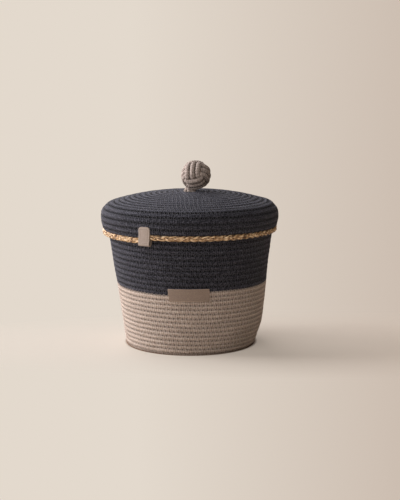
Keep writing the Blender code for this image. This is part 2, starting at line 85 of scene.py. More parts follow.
# %% [markdown]
# ## Helpers for colours and nodes
#
# Colours are written as they look on a screen, as hex codes. Blender's sockets want linear
# values, so one function turns them. Another adds a node with its settings and links, which
# keeps each material short enough to read. Where a node is given as the source of an input,
# its first output is meant. Inputs go by name, or by number where a name occurs twice: 6
# and 7 are a Mix node's two colours, and a Map Range turns the range from 1 to 2 into the
# range from 3 to 4, which is 0 to 1 unless it is set.

# %% Helpers for materials
def linear(code):
    """A hex colour as the linear colour that a socket takes."""
    shares = [int(code[place:place + 2], 16) / 255 for place in (1, 3, 5)]
    return (*[s / 12.92 if s <= 0.04045 else ((s + 0.055) / 1.055) ** 2.4 for s in shares], 1.0)


def feed(node, inputs):
    """Gives a node's inputs values, or links them to the nodes or sockets they come from."""
    for key, source in inputs.items():
        if isinstance(source, bpy.types.Node):
            source = source.outputs[0]
        if isinstance(source, bpy.types.NodeSocket):
            node.id_data.links.new(source, node.inputs[key])
        else:
            node.inputs[key].default_value = source


def add_node(tree, kind, inputs=None, **settings):
    """One node with its settings, and its inputs fed."""
    node = tree.nodes.new(kind)
    for name, value in settings.items():
        setattr(node, name, value)
    feed(node, inputs or {})
    return node


def new_material(name):
    """An empty material: its node tree and its Principled shader."""
    material = bpy.data.materials.new(name)
    material.use_nodes = True
    return material, material.node_tree, material.node_tree.nodes["Principled BSDF"]


print("taupe in linear light:", [round(value, 3) for value in linear("#847164")])

# %% [markdown]
# ## Studio: a pale floor and soft light from the left
#
# The photograph has a large soft light at the left, a little behind the basket, and weaker
# light from the room. A sweep, a floor that curves up into a wall, gives a background
# without a horizon. It is a plane whose far edge is extruded up along a quarter circle.
# Away from the basket the paper glows for the camera with painted light, brighter at the
# left and falling off to the right. Round the basket the lamps light it and it takes the
# shadow, which a share of that painted glow lightens.

# %% Floor and sweep
FLOOR_HALF = 8.0
SWEEP_START = 1.6
SWEEP_RADIUS = 1.2
SWEEP_STEPS = 16
WALL_TOP = 3.0
FAR_EDGE_MARGIN = 0.001

bpy.ops.mesh.primitive_plane_add(size=2.0)
floor = bpy.context.object
floor.name = "floor"
floor.scale = (FLOOR_HALF, (FLOOR_HALF + SWEEP_START) / 2, 1.0)
floor.location.y = (SWEEP_START - FLOOR_HALF) / 2
bpy.ops.object.transform_apply(location=True, rotation=True, scale=True)
bpy.ops.object.mode_set(mode="EDIT")
bpy.ops.mesh.select_all(action="DESELECT")
mesh = bmesh.from_edit_mesh(floor.data)
for edge in mesh.edges:
    edge.select = all(vert.co.y > SWEEP_START - FAR_EDGE_MARGIN for vert in edge.verts)
mesh.select_flush(True)
bmesh.update_edit_mesh(floor.data)
chord = 2 * SWEEP_RADIUS * math.sin(math.radians(90.0) / SWEEP_STEPS / 2)
for step in range(SWEEP_STEPS):
    climb = math.radians(90.0) * (step + 0.5) / SWEEP_STEPS
    move = (0.0, chord * math.cos(climb), chord * math.sin(climb))
    bpy.ops.mesh.extrude_region_move(TRANSFORM_OT_translate={"value": move})
move = (0.0, 0.0, WALL_TOP - SWEEP_RADIUS)
bpy.ops.mesh.extrude_region_move(TRANSFORM_OT_translate={"value": move})
bpy.ops.object.mode_set(mode="OBJECT")
bpy.ops.object.shade_smooth()
print("floor faces:", len(floor.data.polygons))

# %% Paper
PAINTED_FALLOFF_DEPTH = 1.9
PAINTED_FALLOFF_NEAREST = 1.2
PAINTED_FALLOFF_LEFT = -0.04
PAINTED_FALLOFF_RIGHT = 0.17
SHADOW_SHAPE = (1.0, 3.0, 1.0)
SHADOW_MIDDLE = (0.20, -0.04, 0.0)
SHADOW_INNER = 0.25
SHADOW_OUTER = 0.6
PAINTED_GLOW_SHARE = 0.36
CONTACT_REACH = 0.0042
CONTACT_CLOSED = 0.45
CONTACT_OPEN = 0.95

# Far off, the camera sees the paper glow with painted light, brighter at the left and
# darker to the right, where the window's light falls off. Near the basket the lamps light
# the paper and it takes the shadow, and a share of the painted glow lightens that shadow.
material, tree, shader = new_material("pale_warm_paper")
place = add_node(tree, "ShaderNodeTexCoord").outputs["Object"]
parts = add_node(tree, "ShaderNodeSeparateXYZ", {0: place}).outputs
depth = add_node(tree, "ShaderNodeMath", {0: parts[1], 1: PAINTED_FALLOFF_DEPTH}, operation="ADD")
depth = add_node(tree, "ShaderNodeMath", {0: depth, 1: PAINTED_FALLOFF_NEAREST}, operation="MAXIMUM")
slant = add_node(tree, "ShaderNodeMath", {0: parts[0], 1: depth}, operation="DIVIDE")
across = add_node(tree, "ShaderNodeMapRange", {0: slant, 1: PAINTED_FALLOFF_LEFT, 2: PAINTED_FALLOFF_RIGHT})
# Painted light: the glow is brighter at the left and darker to the right, as the window's light
# falls off.
painted_falloff_colours = {0: across, 6: linear("#e3d9cd"), 7: linear("#cabbae")}
painted_falloff = add_node(tree, "ShaderNodeMix", painted_falloff_colours, data_type="RGBA").outputs[2]
# Painted shade: the lit paper's colour is a little darker at the left, which evens out the window's
# stronger light there.
lit_colours = {0: across, 6: linear("#cdc2b5"), 7: linear("#d3c5b5")}
paper = add_node(tree, "ShaderNodeMix", lit_colours, data_type="RGBA").outputs[2]
feed(shader, {"Base Color": paper, "Roughness": 0.9, "Specular IOR Level": 0.2})
narrow = add_node(tree, "ShaderNodeVectorMath", {0: place, 1: SHADOW_SHAPE}, operation="MULTIPLY")
away = add_node(
    tree, "ShaderNodeVectorMath", {0: narrow, 1: SHADOW_MIDDLE}, operation="DISTANCE"
).outputs["Value"]
# Painted light: near the basket a share of the painted glow lifts the lamps' shadow on the paper,
# and far off the glow is all the camera sees.
fade = {0: away, 1: SHADOW_INNER, 2: SHADOW_OUTER, 3: PAINTED_GLOW_SHARE}
far = add_node(tree, "ShaderNodeMapRange", fade)
seen = add_node(tree, "ShaderNodeLightPath").outputs["Is Camera Ray"]
share = add_node(tree, "ShaderNodeMath", {0: far, 1: seen}, operation="MULTIPLY")
painted_glow = add_node(tree, "ShaderNodeEmission", {"Color": painted_falloff})
surface = add_node(tree, "ShaderNodeMixShader", {0: share, 1: shader, 2: painted_glow})

# A painted contact shadow: hardly any light gets in where the foot meets the paper, so there the
# paper is mixed into a dark warm brown.
open_share = add_node(
    tree, "ShaderNodeAmbientOcclusion", {"Distance": CONTACT_REACH}, samples=4
).outputs["AO"]
clear = add_node(tree, "ShaderNodeMapRange", {0: open_share, 1: CONTACT_CLOSED, 2: CONTACT_OPEN})
painted_contact_shadow = add_node(tree, "ShaderNodeBsdfDiffuse", {"Color": linear("#6e4826")})
surface = add_node(tree, "ShaderNodeMixShader", {0: clear, 1: painted_contact_shadow, 2: surface})
feed(tree.nodes["Material Output"], {"Surface": surface})
floor.data.materials.append(material)
print("paper:", material.name)

# %% Lights
def add_area(name, place, target, size, power, colour):
    """A square soft light at place that points at target."""
    bpy.ops.object.light_add(type="AREA", location=place)
    lamp = bpy.context.object
    lamp.name = name
    lamp.data.size = size
    lamp.data.energy = power
    lamp.data.color = linear(colour)[:3]
    aim = Vector(target) - Vector(place)
    lamp.rotation_euler = aim.to_track_quat("-Z", "Y").to_euler()


MIDDLE = (0.0, 0.0, 0.12)
add_area("window", (-2.2, 0.4, 0.95), MIDDLE, 1.6, 77.0, "#faf8fe")
add_area("room_behind", (-1.0, 1.8, 1.6), MIDDLE, 2.0, 57.0, "#faf9fe")
add_area("room_in_front", (-1.1, -1.7, 1.3), MIDDLE, 2.0, 23.0, "#faf9fc")

# The room's weak light comes from the world, which the camera sees in the paper's colour.
world = bpy.data.worlds.new("room")
bpy.context.scene.world = world
world.use_nodes = True
tree = world.node_tree
room_light = tree.nodes["Background"]
feed(room_light, {"Color": linear("#f8ece1"), "Strength": 0.205})
far_paper = add_node(tree, "ShaderNodeBackground", {"Color": linear("#d9cdc0")})
seen = add_node(tree, "ShaderNodeLightPath").outputs["Is Camera Ray"]
room = add_node(tree, "ShaderNodeMixShader", {0: seen, 1: room_light, 2: far_paper})
feed(tree.nodes["World Output"], {"Surface": room})
bpy.context.scene.view_settings.view_transform = "Standard"

# %% [markdown]
# ## The curves that the ropes follow
#
# Cut the basket down the middle and the rope's centre runs along two curves: one from the
# foot up to the rim, one from the lid's eye over the dome and down the skirt. A curve is
# given by a few points, as radius and height, and read by its own length. Rows are then
# laid along that length, so that they keep their height where the wall leans.

# %% A curve read by its length
def smooth_between(u, start, start_pull, end, end_pull):
    """The point at the share u of a curve that leaves start and reaches end along the pulls."""
    return (
        (2 * u**3 - 3 * u**2 + 1) * start + (u**3 - 2 * u**2 + u) * start_pull
        + (3 * u**2 - 2 * u**3) * end + (u**3 - u**2) * end_pull
    )


def lengths_along(points):
    """Length of the line through points, up to each of them."""
    steps = np.linalg.norm(np.diff(points, axis=0), axis=1)
    return np.concatenate(([0.0], np.cumsum(steps)))


class Profile:
    """A smooth curve of radius and height, read by its length, with its outer normal."""

    def __init__(self, points, side, samples=24):
        points = np.array(points, dtype=float)
        places = lengths_along(points)
        slopes = np.gradient(points, places, axis=0)
        dense = []
        for index, chord in enumerate(np.diff(places)):
            start_pull, end_pull = chord * slopes[index], chord * slopes[index + 1]
            for u in np.arange(samples) / samples:
                dense.append(
                    smooth_between(u, points[index], start_pull, points[index + 1], end_pull)
                )
        self.points = np.array([*dense, points[-1]])
        self.lengths = lengths_along(self.points)
        self.length = float(self.lengths[-1])
        self.tangents = np.gradient(self.points, self.lengths, axis=0)
        self.side = side

    def at(self, length, along=0.0, out=0.0):
        """Radius and height at each length, moved along the curve and out from it."""
        radius, height = (np.interp(length, self.lengths, axis) for axis in self.points.T)
        run, rise = (np.interp(length, self.lengths, axis) for axis in self.tangents.T)
        size = np.hypot(run, rise)
        run, rise, out = run / size, rise / size, out * self.side
        return radius + along * run + out * rise, height + along * rise - out * run

    def length_at_height(self, height):
        """The length at which a rising curve reaches this height."""
        return float(np.interp(height, self.points[:, 1], self.lengths))


def on_round(radius, height, angle):
    """Points of a round piece. Angle 0 is the front, and it grows towards the right."""
    x, y = radius * np.sin(angle), -radius * np.cos(angle)
    return np.stack([x, y, height * np.ones_like(angle)], axis=-1)


print("front of a circle of 1 m:", on_round(1.0, 0.0, np.array(0.0)).round(3).tolist())

# %% The wall's curve and the pitch of its rows, as in the part
FOOT_RADIUS = 0.0844
RIM_RADIUS = 0.1080
RIM_HEIGHT = 0.1849
COLOUR_HEIGHT = 0.0848
WALL_CORD = 0.0060
TAUPE_TURNS = 14.25
CHARCOAL_TURNS = 14.5
TAPER_SHARE = 0.25
WALL_SHARES = (
    (0.0, 0.0), (0.127, 0.065), (0.292, 0.156), (0.441, 0.292), (0.597, 0.450),
    (0.750, 0.607), (0.898, 0.746), (0.970, 0.815), (1.0, 0.900), (1.0, 1.0),
)
WALL = Profile(
    [(FOOT_RADIUS + (RIM_RADIUS - FOOT_RADIUS) * out, RIM_HEIGHT * up) for out, up in WALL_SHARES],
    side=1.0,
)
TAUPE_PITCH = WALL.length_at_height(COLOUR_HEIGHT) / (TAPER_SHARE + TAUPE_TURNS - 0.5)
COLOUR_SEAM = TAUPE_PITCH * (TAPER_SHARE + TAUPE_TURNS - 1)
CHARCOAL_PITCH = (WALL.length - COLOUR_SEAM - TAUPE_PITCH) / (CHARCOAL_TURNS - 1 + TAPER_SHARE)
print("row pitch mm:", round(TAUPE_PITCH * 1000, 2), round(CHARCOAL_PITCH * 1000, 2))

# %% The lid's curve, as in the part
SEAT_GAP = 0.0003
LID_CORD = 0.0054
LID_TURNS = 19
EYE_RADIUS = 0.0084
SHOULDER_WIDTH = 0.0068
DOME_DROP = 0.0155
DOME_POWER = 2.6
DOME_RADIUS_SHARES = (0.0, 0.25, 0.45, 0.62, 0.76, 0.88, 1.0)
SKIRT_SWELL = 0.0018
CORNER_HEIGHT = 0.0106
CORNER_SHARES = ((0.515, 0.34), (0.88, 0.68), (1.0, 1.0))
SKIRT_HEIGHT = 0.0207
SKIRT_SHARES = ((0.0, 0.38), (0.45, 0.57), (0.85, 0.80), (1.0, 1.0))
EDGE_DROP = 0.0051
LIFT_GAP = 0.0005
TAG_THICKNESS = 0.0008
MOUTH_RADIUS = RIM_RADIUS + WALL_CORD / 2 + LIFT_GAP + TAG_THICKNESS + SEAT_GAP + LID_CORD / 2
SKIRT_RADIUS = MOUTH_RADIUS + SKIRT_SWELL
DOME_RADIUS = SKIRT_RADIUS - SHOULDER_WIDTH


def lid_outline(eye_height):
    """Middle of the lid's rope, from the eye to the mouth, with the eye at this height."""
    edge = eye_height - DOME_DROP * (1 - (EYE_RADIUS / DOME_RADIUS) ** DOME_POWER)
    points = []
    for share in DOME_RADIUS_SHARES:
        radius = EYE_RADIUS + (DOME_RADIUS - EYE_RADIUS) * share
        points.append((radius, edge + DOME_DROP * (1 - (radius / DOME_RADIUS) ** DOME_POWER)))
    for out, down in CORNER_SHARES:
        radius = DOME_RADIUS + (SKIRT_RADIUS - DOME_RADIUS) * out
        points.append((radius, edge - CORNER_HEIGHT * down))
    for back, down in SKIRT_SHARES:
        radius = SKIRT_RADIUS - (SKIRT_RADIUS - MOUTH_RADIUS) * back
        points.append((radius, edge - CORNER_HEIGHT - SKIRT_HEIGHT * down))
    return points


lid_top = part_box("lid_rope")[1][2]
LID = Profile(lid_outline(lid_top - LID_CORD / 2), side=-1.0)
LID_PITCH = (LID.length - EDGE_DROP) / (TAPER_SHARE + LID_TURNS - 1)
print("lid pitch mm:", round(LID_PITCH * 1000, 2), "lid top mm:", round(lid_top * 1000, 2))

# %% [markdown]
# ## Tubes
#
# A rope, a thread and a straw are all tubes: rings of points, one after the other along a
# route. One function turns such rings into a closed mesh. Its UV map counts round the tube
# from 0 to 1 and along it in metres, so that a braid or a fibre can follow the rope.

# %% Helpers for tubes
TUBE_MAP = "along_rope"
CAP_SHARPNESS = math.radians(60.0)


def unit(vectors):
    """The same directions with length 1."""
    return vectors / np.linalg.norm(vectors, axis=-1, keepdims=True)


def add_tube(name, rings, lengths, material, dents=None, closed=False):
    """A tube through rings of points, capped at its ends, or joined there where closed.

    lengths says how far along it each ring is. dents, if given, is kept as an attribute.
    """
    count, sides = rings.shape[:2]
    points = rings.reshape(-1, 3)
    spans = np.arange(count if closed else count - 1)
    ring, side = (grid.ravel() for grid in np.meshgrid(spans, np.arange(sides), indexing="ij"))
    here, there = ring * sides, (ring + 1) % count * sides
    next_side = (side + 1) % sides
    quads = np.stack([here + side, here + next_side, there + next_side, there + side], axis=1)
    ends = np.append(lengths, lengths[-1] + np.linalg.norm(rings[0].mean(0) - rings[-1].mean(0)))
    round_share = np.stack([side, side + 1, side + 1, side], axis=1) / sides
    along = np.stack([ends[ring], ends[ring], ends[ring + 1], ends[ring + 1]], axis=1)

    first = points[quads[:sides]]
    outward = first.mean(axis=1) - first.mean(axis=(0, 1))
    facing = np.cross(first[:, 2] - first[:, 0], first[:, 3] - first[:, 1])
    inside_out = (outward * facing).sum() < 0
    if inside_out:
        quads, round_share, along = quads[:, ::-1], round_share[:, ::-1], along[:, ::-1]
    faces = quads.tolist()
    uv = np.stack([round_share.ravel(), along.ravel()], axis=1)
    if not closed:
        near, far = list(range(sides)), list(range((count - 1) * sides, count * sides))
        faces += [near, far[::-1]] if inside_out else [near[::-1], far]
        uv = np.concatenate([uv, np.zeros((2 * sides, 2))])

    mesh = bpy.data.meshes.new(name)
    mesh.from_pydata(points.tolist(), [], faces)
    layer = mesh.uv_layers.new(name=TUBE_MAP)
    layer.uv.foreach_set("vector", uv.astype(np.float32).ravel())
    if dents is not None:
        kept = mesh.attributes.new("dent", "FLOAT", "POINT")
        kept.data.foreach_set("value", dents.astype(np.float32).ravel())
    mesh.shade_smooth()
    mesh.set_sharp_from_angle(angle=CAP_SHARPNESS)
    mesh.materials.append(material)
    piece = bpy.data.objects.new(name, mesh)
    bpy.context.scene.collection.objects.link(piece)
    return piece


def rings_round(points, normals, half_width, half_height, sides):
    """Rings of an oval tube along points. normals say which way its height goes."""
    tangents = unit(np.gradient(points, axis=0))
    up = unit(normals - (normals * tangents).sum(axis=1, keepdims=True) * tangents)
    across = np.cross(tangents, up)
    angle = (np.arange(sides) / sides * math.tau)[None, :]
    wide = (np.reshape(half_width, (-1, 1)) * np.cos(angle))[..., None]
    high = (np.reshape(half_height, (-1, 1)) * np.sin(angle))[..., None]
    return points[:, None] + wide * across[:, None] + high * up[:, None]


print("tube map:", TUBE_MAP)

# %% [markdown]
# ## Off true
#
# A basket sewn by hand isn't true. The lid sits a little to the left on a rim that tips up
# to the front and the right, and the foot of the wall is pushed to the right. Each piece is
# modelled true, and one function then moves its points and puts it on its body.

# %% Helpers that put a piece in its place
LID_SHIFT = -0.0010
TIP_RIGHT = 0.006
TIP_FRONT = 0.010
TIP_START = 0.140
LEAN_HEIGHTS = (0.0, 0.015, 0.030, 0.060, 0.084, 0.110, 0.140)
LEANS = (0.0, 0.0010, 0.0027, 0.0022, 0.0015, 0.0003, 0.0)


def move_points(piece, place):
    """Moves each point of a piece to where place, given its x, y and z, puts it."""
    points = np.empty(len(piece.data.vertices) * 3)
    piece.data.vertices.foreach_get("co", points)
    piece.data.vertices.foreach_set("co", place(*points.reshape(-1, 3).T).ravel())
    piece.data.update()


def lid_off_true(x, y, height):
    """The lid's points, as they sit on the real rim."""
    tip = TIP_RIGHT * x - TIP_FRONT * y
    return np.stack([x + LID_SHIFT, y, np.maximum(height + tip, 0.0)], axis=-1)


def basket_off_true(x, y, height):
    """The basket's points, with its foot pushed aside and its rim tipped."""
    tip = (TIP_RIGHT * x - TIP_FRONT * y) * np.interp(height, (TIP_START, RIM_HEIGHT), (0, 1))
    pushed = x + np.interp(height, LEAN_HEIGHTS, LEANS)
    return np.stack([pushed, y, np.maximum(height + tip, 0.0)], axis=-1)


def settle(piece, body, node=None):
    """Puts a piece off true, then on its body, in place of this node of the part."""
    move_points(piece, lid_off_true if body == "lid" else basket_off_true)
    if node:
        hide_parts(node)
    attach(piece, body)


print("rim higher at the front than the back, mm:", round(TIP_FRONT * RIM_RADIUS * 2 * 1000, 2))

# %% [markdown]
# ## Cotton rope
#
# The rope is braided cotton, dyed in the yarn, with a matt and slightly fuzzy surface. A
# round braid shows as two sets of diagonal ridges that cross. Both come from waves on the
# tube's own map, so that they run along the rope wherever it goes. The braid is drawn at
# 3 mm and the flecks at 1.9 mm, coarser than real, so that they still show in the render.
# The thread pulls the rope in at each needle hole, and there its colour is darkened as painted
# shade.

# %% Cotton rope materials
BRAID_ROUND = 8
BRAID_LENGTH = 0.0030
FLECK_SIZE = 0.0019
FLECK_RELIEF = 1.4
TONE_LENGTH = 0.045


def braid_height(tree, around, along):
    """Height of the braid, from -1 to 1: two sets of diagonal waves that cross."""
    waves_round, waves_along = math.tau * BRAID_ROUND / 2, math.tau / BRAID_LENGTH / 2
    turns = add_node(tree, "ShaderNodeMath", {0: around, 1: waves_round}, operation="MULTIPLY")
    run = add_node(tree, "ShaderNodeMath", {0: along, 1: waves_along}, operation="MULTIPLY")
    left = add_node(tree, "ShaderNodeMath", {0: turns, 1: run}, operation="ADD")
    right = add_node(tree, "ShaderNodeMath", {0: turns, 1: run}, operation="SUBTRACT")
    left = add_node(tree, "ShaderNodeMath", {0: left}, operation="SINE")
    right = add_node(tree, "ShaderNodeMath", {0: right}, operation="SINE")
    return add_node(tree, "ShaderNodeMath", {0: left, 1: right}, operation="MULTIPLY")


def cotton_rope(name, colour, deep, pale, sheen, dent_full, dent_share, flecks_share, depth):
    """Braided cotton: colour on its ridges, deep in its grooves as painted shade, and pale in its
    flecks.

    The colour is darkened in the dents as painted shade: a dent as deep as dent_full, and any
    deeper one, keeps dent_share of the colour. The braid's relief is depth high.
    """
    material, tree, shader = new_material(name)
    colour, deep, pale = linear(colour), linear(deep), linear(pale)
    at_tube = add_node(tree, "ShaderNodeUVMap", uv_map=TUBE_MAP)
    parts = add_node(tree, "ShaderNodeSeparateXYZ", {0: at_tube}).outputs
    braid = braid_height(tree, parts[0], parts[1])
    place = add_node(tree, "ShaderNodeTexCoord").outputs["Object"]
    flecks = add_node(tree, "ShaderNodeTexNoise", {"Vector": place, "Scale": 1 / FLECK_SIZE})
    tone_at = add_node(tree, "ShaderNodeCombineXYZ", {1: parts[1]})
    tone = add_node(tree, "ShaderNodeTexNoise", {"Vector": tone_at, "Scale": 1 / TONE_LENGTH})

    # Painted shade: the braid's grooves take the deep colour, and its ridges the rope's own colour.
    painted_groove_shade = add_node(tree, "ShaderNodeMapRange", {0: braid, 1: -0.9, 2: 0.3})
    body = add_node(
        tree, "ShaderNodeMix", {0: painted_groove_shade, 6: deep, 7: colour}, data_type="RGBA"
    ).outputs[2]
    bright = add_node(tree, "ShaderNodeMapRange", {0: flecks, 1: 0.45, 2: 0.62, 4: flecks_share})
    body = add_node(
        tree, "ShaderNodeMix", {0: bright, 6: body, 7: pale}, data_type="RGBA"
    ).outputs[2]
    level = add_node(tree, "ShaderNodeMapRange", {0: tone, 1: 0.3, 2: 0.7, 3: 0.88, 4: 1.1})
    body = add_node(tree, "ShaderNodeVectorMath", {0: body, 1: level}, operation="MULTIPLY")
    # Painted shade: where the dent attribute is high, in the seams and needle holes, the colour is
    # darkened.
    dent = add_node(tree, "ShaderNodeAttribute", attribute_name="dent").outputs["Fac"]
    shade = add_node(tree, "ShaderNodeMapRange", {0: dent, 2: dent_full, 3: 1.0, 4: dent_share})
    body = add_node(tree, "ShaderNodeVectorMath", {0: body, 1: shade}, operation="MULTIPLY")

    relief = add_node(
        tree, "ShaderNodeMath", {0: flecks, 1: FLECK_RELIEF, 2: braid}, operation="MULTIPLY_ADD"
    )
    bump = add_node(tree, "ShaderNodeBump", {"Height": relief, "Strength": 0.8, "Distance": depth})
    feed(shader, {"Base Color": body, "Normal": bump, "Roughness": 0.92})
    feed(shader, {"Specular IOR Level": 0.25, "Sheen Weight": sheen})
    feed(shader, {"Sheen Roughness": 0.55, "Sheen Tint": pale})
    return material


taupe_rope = cotton_rope(
    "taupe_braided_cotton", "#beac9e", "#867261", "#dfd2c6",
    sheen=0.3, dent_full=0.55, dent_share=0.42, flecks_share=0.45, depth=0.0004,
)
charcoal_rope = cotton_rope(
    "charcoal_braided_cotton", "#2a2a31", "#0a0a0c", "#777680",
    sheen=0.4, dent_full=0.36, dent_share=0.02, flecks_share=0.33, depth=0.0005,
)
print("rope materials:", taupe_rope.name, charcoal_rope.name)

# %% [markdown]
# Sewing thread is spun polyester: thinner, smoother and a little shinier than the rope,
# and dyed close to it. Its twist is far too fine to show.

# %% Thread materials
STITCH_PITCH = 0.0056


def sewing_thread(name, colour, deep):
    """Spun thread, with a slight change of tone along it."""
    material, tree, shader = new_material(name)
    at_tube = add_node(tree, "ShaderNodeUVMap", uv_map=TUBE_MAP)
    tone = add_node(tree, "ShaderNodeTexNoise", {"Vector": at_tube, "Scale": 1 / STITCH_PITCH})
    colours = {0: tone, 6: linear(deep), 7: linear(colour)}
    body = add_node(tree, "ShaderNodeMix", colours, data_type="RGBA").outputs[2]
    feed(shader, {"Base Color": body, "Roughness": 0.6, "Sheen Weight": 0.2})
    return material


taupe_thread = sewing_thread("taupe_polyester_thread", "#c9baad", "#a19083")
charcoal_thread = sewing_thread("charcoal_polyester_thread", "#3c3b41", "#232226")
print("stitch every mm:", STITCH_PITCH * 1000)

# %% [markdown]
# ## Rows of rope that share their seams
#
# Neighbouring rows touch all along, so a row isn't drawn alone: each seam is one line, and
# a row fills the space between the seam under it and the one over it. Where hands let a
# seam wander by a quarter of a millimetre, both rows follow. Each row also bulges in and
# out a little on its own. A zigzag thread holds two rows together and pulls their seam in.

# %% Sizes of the rows and the stitches
ROPE_STEP = 0.00125
SQUARENESS = 0.60
FLATNESS = 0.26
OUTSIDE_POINTS = 8
INSIDE_POINTS = 4
GRID_PER_TURN = 360
SEAM_WANDER = 0.00025
SEAM_WAVES = (1.37, 3.11, 5.83, 9.71)
SEAM_START = 1.3
ROW_BULGE = 0.00022
BULGE_WAVES = (2.3, 5.1, 11.7, 17.3)
BULGE_START = 0.7

# Once a stitch the thread pulls both rows in at the seam, and the lower row at its hole.
DENT_DEPTH = 0.0011
DENT_PLACE = 0.0002
DENT_WIDTH = 0.0009
DENT_EDGE = -0.1
HOLE_PLACE = 0.0020
HOLE_SHARE = 0.4
# All along the seam a share of the dent stays, so the seam is always pulled in a little and
# darkened as painted shade.
SEAM_SHARE = 0.17
THREAD_RADIUS = 0.00030
THREAD_SIDES = 4
THREAD_SEAT = 0.78

# A stitch, as points: share of the stitch, reach over or under the seam, and lift.
STITCH_REACH = 0.0021
STITCH_LIFT = 0.001
STITCH = np.array((
    (0.0, 1.0, -0.6), (0.06, 0.9, 0.15), (0.25, 0.0, 0.1), (0.44, -0.9, 0.15),
    (0.5, -1.0, -0.6), (0.56, -0.9, 0.15), (0.75, 0.0, 0.1), (0.94, 0.9, 0.15),
))


def waves(turn, speeds, start):
    """An uneven wave from -1 to 1: a few sines of unlike length, given in waves a turn."""
    counted = enumerate(speeds, 1)
    sines = [np.sin(math.tau * speed * turn + start * count) for count, speed in counted]
    return sum(sines) / len(speeds)


def squared(value, power):
    """Cosine or sine values pushed outwards, for a section between round and square."""
    return np.sign(value) * np.abs(value) ** power


print("rope step mm:", ROPE_STEP * 1000, "points to a stitch:", len(STITCH))

# %% A sewn coil
class Coil:
    """Rope wound along a profile. seam(turn) gives the place of the seam, up to turns + 1.

    way is 1 where it winds to the right and -1 where it winds to the left. first_turn shifts
    its waves, and level_ends says at which ends its seam runs without a wander.
    """

    def __init__(
        self, profile, seam, turns, pitch, cord, start, way, first_turn=0.0, level_ends=(True, True)
    ):
        self.profile, self.seam, self.turns, self.pitch = profile, seam, turns, pitch
        self.cord, self.start, self.way = cord, start, way
        self.first_turn, self.level_ends = first_turn, level_ends
        self.grid = np.linspace(0.0, turns + 1, round((turns + 1) * GRID_PER_TURN))
        self.seam_lengths = lengths_along(self.on_seam(self.grid))

    def angle(self, turn):
        """Where the rope is round the basket after this many turns."""
        return self.start + self.way * math.tau * turn

    def place(self, turn):
        """Where the seam lies along the profile, with its wander."""
        free = np.ones_like(turn)
        if self.level_ends[0]:
            free = free * np.clip(turn - 1, 0, 1)
        if self.level_ends[1]:
            free = free * np.clip(self.turns - turn, 0, 1)
        wander = SEAM_WANDER * waves(turn + self.first_turn, SEAM_WAVES, SEAM_START)
        return self.seam(turn) + wander * free

    def on_seam(self, turn, along=0.0, out=0.0):
        """Points on the seam, or beside and outside it."""
        radius, height = self.profile.at(self.place(turn), along, out)
        return on_round(radius, height, self.angle(turn))

    def stitch_phase(self, turn):
        """How many stitches the seam has had by this turn."""
        return np.interp(turn, self.grid, self.seam_lengths) / STITCH_PITCH

    def rope(self, name, material):
        """The rope itself, with a dent beside each needle hole."""
        low = self.place(self.grid)
        high = self.place(np.minimum(self.grid + 1, self.turns + 1))
        middle = on_round(*self.profile.at((low + high) / 2), self.angle(self.grid))
        walked = lengths_along(middle)
        whole = float(np.interp(self.turns, self.grid, walked))
        lengths = np.linspace(0.0, whole, round(whole / ROPE_STEP))
        turn = np.interp(lengths, walked, self.grid)
        low, high = self.place(turn), self.place(turn + 1)
        fullness = np.clip((high - low) / self.pitch, 0.0, 1.0)[:, None]
        half = (high - low)[:, None] / 2
        bulge = ROW_BULGE * waves(turn + self.first_turn, BULGE_WAVES, BULGE_START)[:, None]
        angle = np.concatenate([
            np.linspace(0.0, math.pi, OUTSIDE_POINTS, endpoint=False),
            np.linspace(math.pi, math.tau, INSIDE_POINTS, endpoint=False),
        ])[None, :]
        along = half * squared(np.cos(angle), SQUARENESS)
        out = self.cord / 2 * fullness * squared(np.sin(angle), FLATNESS)
        edge = half - np.abs(along)
        at_seam = np.exp(-(((edge - DENT_PLACE) / DENT_WIDTH) ** 2))
        at_hole = np.exp(-(((edge - HOLE_PLACE) / DENT_WIDTH) ** 2)) * (along > 0)
        under, over = self.stitch_phase(turn)[:, None], self.stitch_phase(turn + 1)[:, None]
        beat = np.cos(math.tau * np.where(along > 0, over, under))
        # The dent is also kept for the material, which darkens the colour there as painted shade.
        dent = at_seam * (SEAM_SHARE + (1 - SEAM_SHARE) * beat.clip(0.0, 1.0) ** 2)
        dent = dent + HOLE_SHARE * at_hole * (-beat).clip(0.0, 1.0) ** 3
        dent = dent * (np.sin(angle) > DENT_EDGE) * fullness
        out = out + bulge * fullness - DENT_DEPTH * dent
        radius, height = self.profile.at((low + high)[:, None] / 2, along, out)
        around = np.broadcast_to(self.angle(turn)[:, None], radius.shape)
        rings = on_round(radius, height, around)
        print(name, "rope m:", round(whole, 2), "faces:", len(lengths) * angle.size)
        return add_tube(name, rings, lengths, material, dents=dent)

    def thread(self, name, material, first, last):
        """The zigzag thread over the seams from the turn first to the turn last."""
        begin = math.ceil(self.stitch_phase(first))
        count = math.floor(self.stitch_phase(last)) - begin
        phase = (begin + np.arange(count)[:, None] + STITCH[:, 0]).ravel()
        along = np.tile(STITCH[:, 1], count) * STITCH_REACH
        lift = np.tile(STITCH[:, 2], count) * STITCH_LIFT
        turn = np.interp(phase * STITCH_PITCH, self.seam_lengths, self.grid)
        out = self.cord / 2 * THREAD_SEAT + lift
        points = self.on_seam(turn, along, out)
        normals = self.on_seam(turn, along, out + self.cord) - points
        rings = rings_round(points, normals, THREAD_RADIUS, THREAD_RADIUS, THREAD_SIDES)
        print(name, "stitches:", count, "faces:", len(points) * THREAD_SIDES)
        return add_tube(name, rings, lengths_along(points), material)

    def sew(self, name, body, node, cotton, thread, first, last):
        """Adds the rope and its stitches, and puts both on their body."""
        settle(self.rope(name + "_coil", cotton), body, node)
        settle(self.thread(name + "_stitches", thread, first, last), body)


print("grid points a turn:", GRID_PER_TURN)

# %% [markdown]
# ## The base
#
# The base is the start of the taupe rope: a flat spiral from the middle out to the wall.

